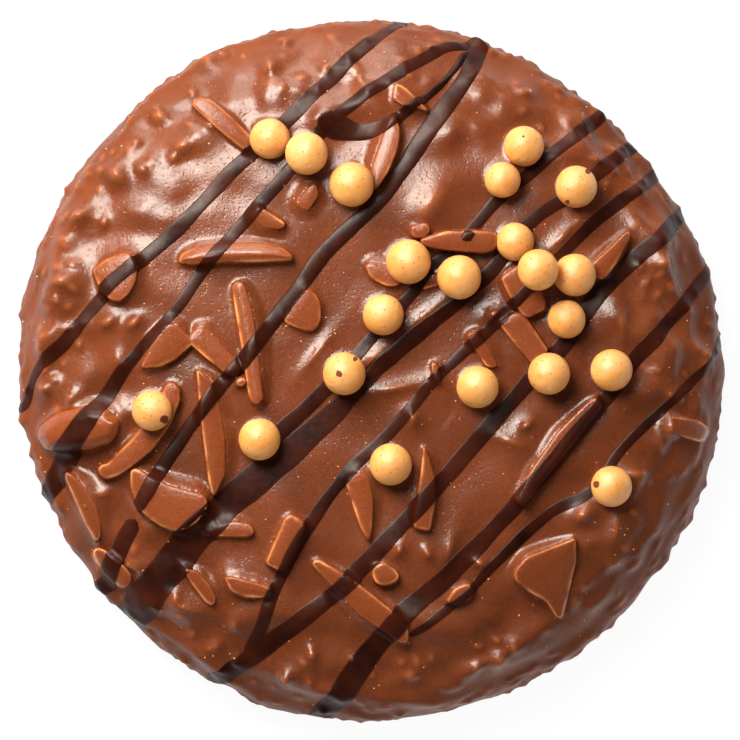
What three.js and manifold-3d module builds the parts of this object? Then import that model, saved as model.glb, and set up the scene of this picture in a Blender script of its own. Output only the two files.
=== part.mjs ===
// A round lebkuchen coated in milk chocolate, with chocolate shards set in the coating,
// strands of dark chocolate drawn across it and crisp pearls on top.
// Millimetres, +Z up, origin at the middle of the flat base.
import * as THREE from "three";
import { mergeVertices } from "three/addons/utils/BufferGeometryUtils.js";
import Module from "manifold-3d";

// Driving dimensions
const DIAMETER = 95;
const CROWN_HEIGHT = 15; // top of the coating, without what lies on it
const GIRTH_HEIGHT = 2.5; // height of the widest line, just above the base
const FOOT_INSET = 1.1; // how far the base draws in under the girth
const SHOULDER_POWER = 4.5; // higher makes a flatter top and a tighter shoulder

const RADIUS = DIAMETER / 2;
const DOME = CROWN_HEIGHT - GIRTH_HEIGHT;

// Fineness of the faceted surfaces
const ROUND_STEPS = 72;
const SIDE_STEPS = 13;
const SMOOTH_SAMPLES = 400;
const WELD = 1e-3; // points closer than this are one
const CLOSE = 0.01; // on the axis or on the base within this

// Low swells of the outline: how many round the edge, how deep, and where they start in degrees
const SWELLS = [
  { waves: 2, deep: 0.4, start: 72 },
  { waves: 3, deep: 0.18, start: -18 },
  { waves: 4, deep: 0.2, start: 26 },
];

// Nut crumbs under the coating: drawn round the edge by a seeded rule
const CRUMB_COUNT = 240;
const CRUMB_SEED = 2041;
const CRUMB_REACH = { from: 0.6, to: 0.97 }; // share of the way from the crown to the base
const CRUMB_HEIGHT = { least: 0.25, most: 0.8 };
const CRUMB_SPREAD = { least: 0.9, most: 1.7 };
const GOLDEN_ANGLE = Math.PI * (3 - Math.sqrt(5));

// Larger lumps that stand out of the coating: x, y, height, spread
const LUMPS = [
  [-28.0, 33.7, 0.9, 1.5], [-25.2, 30.1, 0.8, 1.5], [-33.7, 25.8, 0.9, 1.8], [-21.3, 40.7, 0.9, 1.4],
  [-13.3, 40.5, 0.9, 1.3], [-40.5, 11.8, 1.1, 1.7], [-35.4, 6.5, 0.7, 1.3], [-31.9, 6.4, 0.7, 1.2],
  [-38.4, 20.4, 0.9, 1.4], [-43.5, -2.5, 0.9, 1.3], [39.3, 14.2, 1.0, 1.5], [35.5, -13.9, 0.8, 1.4],
  [28.6, -19.5, 0.9, 1.5], [-7.8, -38.2, 0.8, 1.0], [-11.2, -41.2, 0.9, 1.1], [17.4, -38.7, 0.9, 1.3],
  [14.9, -26.2, 0.7, 0.9], [4.0, -24.4, 0.7, 0.8], [7.8, -24.9, 0.7, 0.8], [-17.5, -1.6, 0.8, 0.9],
  [21.2, -7.5, 0.7, 0.9], [5.8, -6.5, 0.8, 1.2], [16.8, 7.6, 0.8, 0.9], [-7.2, 2.3, 0.7, 1.3],
  [0.7, 1.8, 0.7, 1.1], [7.4, 7.4, 0.6, 1.4], [3.3, -2.5, 0.7, 1.4], [10.7, -24.4, 0.8, 0.9],
  [19.1, -9.7, 0.7, 1.3], [32.8, -21.4, 0.8, 1.3], [26.0, 18.0, 0.7, 1.4], [33.9, 6.4, 0.7, 1.4],
  [-24.7, -31.9, 0.8, 1.5],
];

// Shards of chocolate: outline, x, y, long, wide, turn in degrees, rise over the coating,
// lean (how much higher the left side is) and skirt (spread of a gentle side, left if positive)
const SHARDS = [
  ["bar", -20.2, 33.7, 9.5, 2.6, -40, 2.0, -0.3, 0],
  ["wedge", -8.5, 23.3, 4.6, 3.0, 70, 1.3, 0, 0],
  ["half", 0.7, 29.7, 10.1, 2.5, -106, 1.2, 0.4, 0],
  ["half", 5.9, 36.7, 5.5, 2.5, -35, 1.0, 0.2, 0],
  ["lens", 8.5, 22.9, 6.5, 3.3, 61, 1.0, 0, 0],
  ["half", 12.1, 17.6, 10.9, 2.5, 183, 2.4, 0, 1.8],
  ["half", -34.4, 12.3, 7.1, 5.7, 26, 1.9, 0, 0],
  ["bar", -18.2, 15.8, 15.8, 2.7, 2, 1.7, 0.2, 0],
  ["half", -28.3, 3.0, 7.9, 4.4, -151, 1.5, 0.3, 0],
  ["bar", -21.3, 2.9, 8.2, 2.7, -45, 1.3, -0.3, 1.2],
  ["half", -13.6, 21.0, 5.7, 2.5, -30, 1.1, 0.2, 0],
  ["bar", -16.7, 3.7, 16.5, 2.0, -80, 1.8, -0.3, 1.5],
  ["bar", -8.9, 7.9, 6.0, 4.1, 55, 0.9, 0, 0],
  ["bar", 6.6, 18.3, 3.0, 2.5, -45, 1.1, 0, 0],
  ["bar", 20.5, 10.4, 7.4, 3.8, -60, 2.0, -0.3, -1.2],
  ["bar", 21.1, 4.1, 7.6, 3.3, -53, 1.0, 0, 0],
  ["half", 14.8, 2.7, 6.3, 2.7, -54, 1.2, 0.2, 0],
  ["lens", 8.9, -0.8, 3.8, 2.2, -68, 0.9, 0, 0],
  ["bar", 8.0, 12.0, 2.5, 1.6, 15, 0.9, 0, 0],
  ["half", 1.6, 12.7, 5.5, 2.5, -18, 1.1, 0.2, 0],
  ["wedge", -1.0, -18.8, 9.8, 3.7, -78, 1.2, 0, 0],
  ["bar", -11.5, -23.6, 7.6, 2.7, -116, 1.6, 0, 0],
  ["half", -16.6, -29.7, 6.8, 2.2, -14, 1.4, 0.2, 0],
  ["half", -1.7, -31.9, 16.4, 3.0, -39, 1.9, 0.3, 1.8],
  ["bar", 25.3, -11.4, 18.0, 3.0, 51, 1.5, 0, -1.0],
  ["lens", 12.3, -30.4, 4.6, 2.5, 37, 1.0, 0, 0],
  ["half", -27.2, -18.8, 10.9, 6.5, -12, 2.2, 0.4, 1.5],
  ["lens", -39.5, -8.5, 12.0, 6.0, 10, 2.4, 0, 0],
  ["bar", -31.3, -8.5, 16.1, 3.0, 50, 1.6, 0, 0],
  ["half", -39.2, -18.4, 9.3, 2.5, 112, 1.2, 0, 0],
  ["bar", -35.1, -26.7, 6.0, 2.5, -40, 1.0, 0, 0],
  ["half", -20.9, -8.7, 17.2, 3.8, 98, 1.6, 0.8, 0],
  ["half", -19.0, -21.7, 7.1, 2.2, 177, 1.0, 0.2, 0],
  ["lens", 7.4, -16.2, 11.7, 3.3, -91, 1.5, 0, 0],
  ["bar", 42.7, -7.9, 6.8, 3.3, -14, 1.6, 0, 0],
  ["wedge", 24.6, -28.1, 10.9, 8.5, -72, 1.9, 0, 0],
  ["wedge", 32.6, 15.5, 7.6, 3.0, 51, 1.4, 0, 0],
  ["half", -23.1, -29.7, 6.8, 2.5, 130, 1.2, 0, 0],
  ["half", 2.4, -28.1, 3.8, 2.2, -15, 1.0, 0, 0],
];
const SHARD_SINK = 1.5; // depth of a shard's foot under the coating
const SHARD_SPREAD = 0.35; // how much wider the foot is than the top, each side

// Dark strands: width, and the points that each passes through from edge to edge
const STRANDS = [
  { wide: 2.0, via: [[3.7, 46.8], [-3.3, 41.4], [-19.3, 26.4], [-31.6, 14.3], [-41.5, 3.3], [-46.4, -4.8]] },
  { wide: 2.0, via: [[14.0, 44.2], [2.8, 39.4], [-5.1, 33.8], [-18.3, 18.7], [-33.7, -0.4], [-43.5, -16.4]] },
  { wide: 1.6, via: [[12.9, 42.9], [8.5, 38.0], [3.1, 34.1], [-4.0, 32.7]] },
  { wide: 2.3, via: [[14.8, 43.8], [8.0, 32.7], [1.7, 23.6], [-15.6, 3.4], [-26.9, -11.2], [-35.6, -29.3]] },
  { wide: 1.9, via: [[31.4, 34.5], [17.5, 23.2], [8.2, 13.9], [0.3, 4.4], [-6.5, -3.1], [-14.7, -10.5]] },
  { wide: 2.2, via: [[35.1, 30.0], [21.5, 19.8], [8.2, 6.3], [-4.7, -5.6], [-19.3, -18.1], [-31.7, -32.7]] },
  { wide: 1.8, via: [[38.5, 26.2], [23.2, 12.9], [9.2, -0.8], [-3.1, -14.0], [-12.6, -28.9], [-16.7, -39.0]] },
  { wide: 2.3, via: [[41.8, 20.6], [26.6, 3.8], [11.7, -12.9], [-3.2, -28.8], [-11.9, -35.8], [-20.6, -41.8]] },
  { wide: 2.3, via: [[45.3, 13.1], [31.7, -4.1], [18.7, -19.5], [5.5, -32.2], [0.3, -38.7], [-6.5, -46.6]] },
  { wide: 1.6, via: [[46.9, 3.4], [34.3, -10.4], [30.1, -16.2], [17.8, -25.4], [13.0, -30.4], [5.4, -36.0]] },
];
const STRAND_PROUD = 0.45; // height of a strand over what it lies on
const STRAND_STEP = 5; // distance between its cross-sections
const STRAND_SIDES = 6;
const EDGE_SHARE = 0.96; // strands go over the edge beyond this share of the radius

// Pearls: x, y, diameter, and lift of those that sit on a shard, a strand or their neighbours
const PEARLS = [
  [-13.6, 31.4, 5.5, 0], [-8.6, 29.4, 5.8, 1.6], [-2.5, 25.2, 6.1, 0.2], [20.9, 30.4, 5.5, 0],
  [18.0, 25.8, 4.9, 0.5], [28.0, 24.9, 5.7, 0.2], [1.8, 7.5, 5.6, 0.2], [-3.5, -0.5, 5.8, 0.2],
  [12.1, 12.6, 6.0, 0.3], [5.2, 14.7, 6.1, 0.2], [19.7, 17.4, 5.2, 0], [-15.0, -9.4, 5.7, 0.2],
  [22.8, 13.6, 5.6, 3.1], [27.8, 12.9, 5.8, 0], [26.7, 6.9, 5.2, 0], [24.3, -0.5, 5.7, 0.2],
  [14.6, -2.3, 5.7, 0], [32.8, 0.0, 5.7, 0.2], [32.8, -15.8, 5.6, 0.2], [2.8, -12.8, 5.7, 0],
  [-29.6, -5.5, 5.5, 1.3],
];
const PEARL_SUNK = 0.8; // how far a pearl sits into the coating
const PEARL_ROUND = 10; // facets round a pearl and its seat
const PEARL_TALL = 7; // facets from top to bottom
const SEAT_GAP = 0.3; // clearance of a pearl in its seat

const milkChocolate = new THREE.MeshStandardMaterial({ color: 0x7c4630, roughness: 0.4, metalness: 0 });
const pearlGlaze = new THREE.MeshStandardMaterial({ color: 0xe8b866, roughness: 0.5, metalness: 0 });

const wasm = await Module();
wasm.setup();

// A closed geometry as a solid that can be joined and cut
function solidOf(geometry) {
  const bare = geometry.clone();
  bare.deleteAttribute("normal");
  bare.deleteAttribute("uv");
  const merged = mergeVertices(bare, WELD);
  return new wasm.Manifold(new wasm.Mesh({
    numProp: 3,
    vertProperties: new Float32Array(merged.attributes.position.array),
    triVerts: new Uint32Array(merged.index.array),
  }));
}

function geometryOf(solid) {
  const mesh = solid.getMesh();
  const geometry = new THREE.BufferGeometry();
  geometry.setAttribute("position", new THREE.BufferAttribute(mesh.vertProperties, 3));
  geometry.setIndex(new THREE.BufferAttribute(mesh.triVerts, 1));
  geometry.computeVertexNormals();
  return geometry;
}

// Repeatable random numbers from 0 to 1, by the minimal standard generator
function seededDraws(seed) {
  const factor = 16807;
  const modulus = 2147483647;
  let state = seed;
  return () => {
    state = (state * factor) % modulus;
    return state / modulus;
  };
}

// Height of the smooth coating at a distance from the axis
function crownAt(distance) {
  const share = Math.min(distance / RADIUS, 1);
  return GIRTH_HEIGHT + DOME * Math.sqrt(1 - share ** SHOULDER_POWER);
}

// Outward direction of the smooth coating above a point
function coatingNormal(x, y) {
  const distance = Math.hypot(x, y);
  const slope = (crownAt(distance + CLOSE) - crownAt(distance - CLOSE)) / (2 * CLOSE);
  return new THREE.Vector3((-slope * x) / distance, (-slope * y) / distance, 1).normalize();
}

// Outline of the coating from the crown down to the edge of the base
function sideCurve() {
  const points = [];
  for (let i = 0; i <= SMOOTH_SAMPLES; i++) {
    const distance = RADIUS * Math.sin((i / SMOOTH_SAMPLES) * (Math.PI / 2));
    points.push(new THREE.Vector2(distance, crownAt(distance)));
  }
  points.push(new THREE.Vector2(RADIUS - FOOT_INSET * 0.25, GIRTH_HEIGHT * 0.5));
  points.push(new THREE.Vector2(RADIUS - FOOT_INSET, 0));
  return new THREE.SplineCurve(points);
}

// Every bump of the coating: its middle on the smooth surface, its height and its spread
function coatingBumps(side) {
  const draw = seededDraws(CRUMB_SEED);
  const between = (range) => range.least + (range.most - range.least) * draw();
  const bumps = LUMPS.map(([x, y, height, spread]) => (
    { middle: new THREE.Vector3(x, y, crownAt(Math.hypot(x, y))), height, spread }
  ));
  for (let i = 0; i < CRUMB_COUNT; i++) {
    const reach = CRUMB_REACH.from + (CRUMB_REACH.to - CRUMB_REACH.from) * draw();
    const spot = side.getPointAt(reach);
    const turn = i * GOLDEN_ANGLE;
    const middle = new THREE.Vector3(spot.x * Math.cos(turn), spot.x * Math.sin(turn), spot.y);
    bumps.push({ middle, height: between(CRUMB_HEIGHT), spread: between(CRUMB_SPREAD) });
  }
  return bumps;
}

function bumpHeight(point, bumps) {
  return bumps.reduce((sum, bump) => (
    sum + bump.height * Math.exp(-point.distanceToSquared(bump.middle) / (2 * bump.spread ** 2))
  ), 0);
}

function swellHeight(point) {
  const turn = Math.atan2(point.y, point.x);
  const share = Math.hypot(point.x, point.y) / RADIUS;
  return SWELLS.reduce((sum, swell) => (
    sum + swell.deep * share ** 3 * Math.cos(swell.waves * turn + THREE.MathUtils.degToRad(swell.start))
  ), 0);
}

// The coated biscuit: a turned form whose surface is pushed out by swells and bumps
function biscuitBody() {
  const side = sideCurve();
  const bumps = coatingBumps(side);
  const outline = [new THREE.Vector2(0, 0), ...side.getSpacedPoints(SIDE_STEPS).reverse()];
  outline[outline.length - 1].x = 0;
  const geometry = new THREE.LatheGeometry(outline, ROUND_STEPS);
  geometry.rotateX(Math.PI / 2);
  const position = geometry.attributes.position;
  const normal = geometry.attributes.normal;
  const point = new THREE.Vector3();
  const outward = new THREE.Vector3();
  for (let i = 0; i < position.count; i++) {
    point.fromBufferAttribute(position, i);
    const onAxis = Math.hypot(point.x, point.y) < CLOSE;
    if (onAxis || point.z < CLOSE) continue;
    outward.fromBufferAttribute(normal, i);
    point.addScaledVector(outward, swellHeight(point) + bumpHeight(point, bumps));
    position.setXYZ(i, point.x, point.y, point.z);
  }
  return solidOf(geometry);
}

// Outlines of the shards: left and right edge as shares of the width, from end -1 to end 1
const SHARD_EDGES = {
  bar: { left: () => 0.5, right: () => -0.5, stations: [-1, 1] },
  wedge: { left: (u) => 0.24 * (1 - u) + 0.02, right: (u) => -0.24 * (1 - u) - 0.02, stations: [-1, 1] },
  lens: { left: (u) => 0.5 - 0.45 * u * u, right: (u) => 0.45 * u * u - 0.5, stations: [-1, -0.5, 0.5, 1] },
  half: { left: () => 0.5, right: (u) => 0.4 - 0.9 * Math.sqrt(1 - u ** 4), stations: [-1, -0.7, 0, 0.7, 1] },
};

function shardOutline(kind, long, wide) {
  const { left, right, stations } = SHARD_EDGES[kind];
  const near = stations.map((u) => new THREE.Vector2((u * long) / 2, right(u) * wide));
  const far = stations.toReversed().map((u) => new THREE.Vector2((u * long) / 2, left(u) * wide));
  return new THREE.Shape([...near, ...far]);
}

// A prism whose foot is wider than its top, set square on the coating
function shard([kind, x, y, long, wide, turn, rise, lean, skirt]) {
  const outline = shardOutline(kind, long, wide);
  const geometry = new THREE.ExtrudeGeometry(outline, { depth: 1, bevelEnabled: false });
  const position = geometry.attributes.position;
  for (let i = 0; i < position.count; i++) {
    const along = position.getX(i);
    const across = position.getY(i);
    if (position.getZ(i) > 0.5) {
      position.setZ(i, rise + (lean * across) / wide);
      continue;
    }
    const gentle = skirt * across > 0 ? Math.abs(skirt) : 0;
    position.setX(i, along + Math.sign(along) * SHARD_SPREAD);
    position.setY(i, across + Math.sign(across) * (SHARD_SPREAD + gentle));
    position.setZ(i, -SHARD_SINK);
  }
  const place = new THREE.Object3D();
  place.position.set(x, y, crownAt(Math.hypot(x, y)));
  place.quaternion.setFromUnitVectors(new THREE.Vector3(0, 0, 1), coatingNormal(x, y));
  place.rotateZ(THREE.MathUtils.degToRad(turn));
  place.updateMatrix();
  return solidOf(geometry.applyMatrix4(place.matrix));
}

// Height of a finished surface straight below the sky at x, y
function surfaceHeight(mesh, x, y) {
  const down = new THREE.Vector3(0, 0, -1);
  const hits = new THREE.Raycaster(new THREE.Vector3(x, y, 2 * CROWN_HEIGHT), down).intersectObject(mesh);
  return hits.length ? hits[0].point.z : crownAt(Math.hypot(x, y));
}

// A strand of chocolate: a round thread, laid so that only its top shows over the surface below
function strand({ wide, via }, ground) {
  const threadRadius = (wide * wide / 4 + STRAND_PROUD ** 2) / (2 * STRAND_PROUD);
  const route = new THREE.CatmullRomCurve3(via.map(([x, y]) => new THREE.Vector3(x, y, 0)));
  const steps = Math.round(route.getLength() / STRAND_STEP);
  const laid = route.getSpacedPoints(steps).map(({ x, y }) => {
    const distance = Math.hypot(x, y);
    const top = distance > EDGE_SHARE * RADIUS ? crownAt(distance) : surfaceHeight(ground, x, y);
    return new THREE.Vector3(x, y, top).addScaledVector(coatingNormal(x, y), STRAND_PROUD - threadRadius);
  });
  const section = new THREE.Shape();
  section.absarc(0, 0, threadRadius, 0, 2 * Math.PI);
  return solidOf(new THREE.ExtrudeGeometry(section, {
    steps,
    curveSegments: STRAND_SIDES / 2,
    bevelEnabled: false,
    extrudePath: new THREE.CatmullRomCurve3(laid),
  }));
}

function pearlMiddle([x, y, diameter, lift]) {
  return new THREE.Vector3(x, y, crownAt(Math.hypot(x, y)) + diameter / 2 - PEARL_SUNK + lift);
}

function ball(radius) {
  return new THREE.SphereGeometry(radius, PEARL_ROUND, PEARL_TALL).rotateX(Math.PI / 2);
}

function pearlSeat(row) {
  const middle = pearlMiddle(row);
  return solidOf(ball(row[2] / 2 + SEAT_GAP).translate(middle.x, middle.y, middle.z));
}

// Body, shards and strands in one piece, with a seat cut for every pearl and loose scraps dropped
function biscuit() {
  let solid = SHARDS.reduce((body, row) => body.add(shard(row)), biscuitBody());
  const ground = new THREE.Mesh(geometryOf(solid));
  solid = STRANDS.reduce((body, row) => body.add(strand(row, ground)), solid);
  solid = PEARLS.reduce((body, row) => body.subtract(pearlSeat(row)), solid);
  const pieces = solid.decompose().sort((a, b) => b.volume() - a.volume());
  const mesh = new THREE.Mesh(geometryOf(pieces[0]), milkChocolate);
  mesh.name = "biscuit";
  return mesh;
}

function pearl(row, index) {
  const mesh = new THREE.Mesh(ball(row[2] / 2), pearlGlaze);
  mesh.position.copy(pearlMiddle(row));
  mesh.name = `pearl_${String(index + 1).padStart(2, "0")}`;
  return mesh;
}

const lebkuchen = new THREE.Group();
lebkuchen.add(biscuit(), ...PEARLS.map(pearl));

export default lebkuchen;
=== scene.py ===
"""Dresses a round lebkuchen: milk chocolate coating, chocolate shards, dark strands, pearls and crumbs."""
import math

import bpy
import numpy as np
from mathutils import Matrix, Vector


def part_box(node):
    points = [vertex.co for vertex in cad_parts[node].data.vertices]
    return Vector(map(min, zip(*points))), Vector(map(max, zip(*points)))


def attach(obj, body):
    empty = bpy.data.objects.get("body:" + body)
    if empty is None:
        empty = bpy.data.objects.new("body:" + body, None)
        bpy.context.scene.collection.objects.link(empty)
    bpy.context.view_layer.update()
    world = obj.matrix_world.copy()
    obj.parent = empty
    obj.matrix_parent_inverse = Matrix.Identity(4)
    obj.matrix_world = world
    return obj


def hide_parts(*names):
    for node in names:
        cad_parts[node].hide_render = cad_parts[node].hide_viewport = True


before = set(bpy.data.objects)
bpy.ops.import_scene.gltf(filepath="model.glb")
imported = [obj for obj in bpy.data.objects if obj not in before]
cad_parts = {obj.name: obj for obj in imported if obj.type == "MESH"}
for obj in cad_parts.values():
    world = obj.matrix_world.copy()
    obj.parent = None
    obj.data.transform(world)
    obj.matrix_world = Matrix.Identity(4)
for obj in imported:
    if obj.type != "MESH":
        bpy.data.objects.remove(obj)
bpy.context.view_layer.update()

MM = 0.001  # sizes below are in millimetres, apart from the stage, which is in metres
TINY = 1e-9  # keeps a division from meeting zero
SLIGHT = 1e-6

# Coated biscuit
RADIUS = 47.5
CROWN_HEIGHT = 15.0
GIRTH_HEIGHT = 2.5
FOOT_INSET = 1.1
SHOULDER_POWER = 4.5
DOME = CROWN_HEIGHT - GIRTH_HEIGHT
COATING_STEP = 0.33  # distance between neighbouring points of the coating
BASE_STEP = 1.5
PROFILE_POINTS = 800  # from the crown to the girth
FOOT_POINTS = 40  # from the girth to the base
FIT_ROUNDS = 4  # to bring a raised point to its place as seen from above
SIDE_FALL = 1.12  # how soon the surface counts as the side
# How dull the coating is by how far it faces up: dullest where it slopes down to the edge
DULL_SLOPES = (0.0, 0.25, 0.5, 0.7, 0.9)
DULL_SHARES = (0.3, 0.5, 0.95, 0.65, 0.0)
SHARD_DULL = 0.2

# Low swells of the outline: how many round the edge, how deep, and where they start in degrees
SWELLS = [(2, 0.4, 72), (3, 0.18, -18), (4, 0.2, 26)]
SWELL_POWER = 3  # how soon they die away towards the crown

# Nut crumbs under the coating, drawn by a seeded rule round the edge: how many and their seed, the ranges of
# their reach from crown to base, height and spread, how far they show through as lighter tips with a painted
# glow, and their share of height at the girth
GOLDEN_ANGLE = math.pi * (3 - math.sqrt(5))
CRUMBS = [
    (240, 2041, (0.6, 0.97), (0.25, 0.8), (0.9, 1.7), 0.5, 0.5),
    (340, 77, (0.7, 0.99), (0.2, 0.65), (0.4, 0.66), 0.95, 0.9),
    (250, 131, (0.86, 0.985), (0.08, 0.34), (0.3, 0.5), 0.6, 1.0),
]
CRUMB_FADE = (0.78, 0.9)  # where their height changes to that at the girth

# Folds along the edge, where the chocolate ran as it set
FOLD_COUNT = 110
FOLD_SEED = 301
FOLD_REACH = (0.74, 0.9)
FOLD_HEIGHT = (0.2, 0.6)
FOLD_SPREAD = (0.7, 1.2)
FOLD_TURN = math.radians(22)
CRUMB_STRETCH = 0.55  # how far a crumb or a fold is drawn out along its direction, below 1
FOLD_STRETCH = 0.92
BUMP_FALL = 0.62  # how soon a bump falls off from its crest
BUMP_REACH = 4  # spreads from its middle, beyond which it is left out

# Ripples of the set chocolate: count, seed, wavelengths, height, and its shares at these reaches
RIPPLE_REACHES = (24, 34, 44, 50)
RIPPLES = [
    (16, 5, (6.0, 16.0), 0.036, (1.0, 1.0, 0.8, 0.4)),
    (14, 9, (5.0, 9.0), 0.07, (0.1, 0.8, 1.0, 0.4)),
]

# Larger lumps that stand out of the coating: x, y, height, spread
LUMP_SEED = 23
LUMPS = [
    (-28.0, 33.7, 0.9, 1.5), (-25.2, 30.1, 0.8, 1.5), (-33.7, 25.8, 0.9, 1.8), (-21.3, 40.7, 0.9, 1.4),
    (-13.3, 40.5, 0.9, 1.3), (-40.5, 11.8, 1.1, 1.7), (-35.4, 6.5, 0.7, 1.3), (-31.9, 6.4, 0.7, 1.2),
    (-38.4, 20.4, 0.9, 1.4), (-43.5, -2.5, 0.9, 1.3), (39.3, 14.2, 1.0, 1.5), (35.5, -13.9, 0.8, 1.4),
    (28.6, -19.5, 0.9, 1.5), (-7.8, -38.2, 0.8, 1.0), (-11.2, -41.2, 0.9, 1.1), (17.4, -38.7, 0.9, 1.3),
    (14.9, -26.2, 0.7, 0.9), (4.0, -24.4, 0.7, 0.8), (7.8, -24.9, 0.7, 0.8), (-17.5, -1.6, 0.8, 0.9),
    (21.2, -7.5, 0.7, 0.9), (5.8, -6.5, 0.8, 1.2), (16.8, 7.6, 0.8, 0.9),
]
# A lump's wide foot and its crest: shares of its height and of its spread, and how far the nut shows through,
# lighter with a painted glow
LUMP_PARTS = [(0.6, 1.5, 0.0), (1.15, 0.5, 1.0)]

# Shards wholly under the coating: x, y, long, wide, turn in degrees, height
SOFT_RIDGES = [(0.7, 1.8, 4.1, 1.9, 27, 0.7), (8.2, 22.6, 6.4, 3.2, 55, 1.1)]
SHARP_RIDGES = [
    (-7.2, 2.3, 4.6, 1.1, 52, 0.8), (7.4, 7.4, 6.0, 1.0, 36, 0.8), (3.3, -2.5, 5.6, 1.1, 10, 0.9),
    (10.7, -24.4, 3.3, 1.1, 70, 1.0), (19.1, -9.7, 4.4, 1.3, -18, 0.9), (32.8, -21.4, 5.5, 1.1, 79, 0.9),
    (26.0, 18.0, 6.0, 1.1, 48, 0.9), (33.9, 6.4, 6.0, 1.2, -83, 0.9), (-24.7, -31.9, 7.0, 1.2, -17, 0.9),
]
SOFT_CREST = 1.6
SHARP_CREST = 1.0
# How far a ridge's crest shows through as a lighter colour: thinner coating there, plus a painted glow
RIDGE_SHOWS = 0.9

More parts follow.
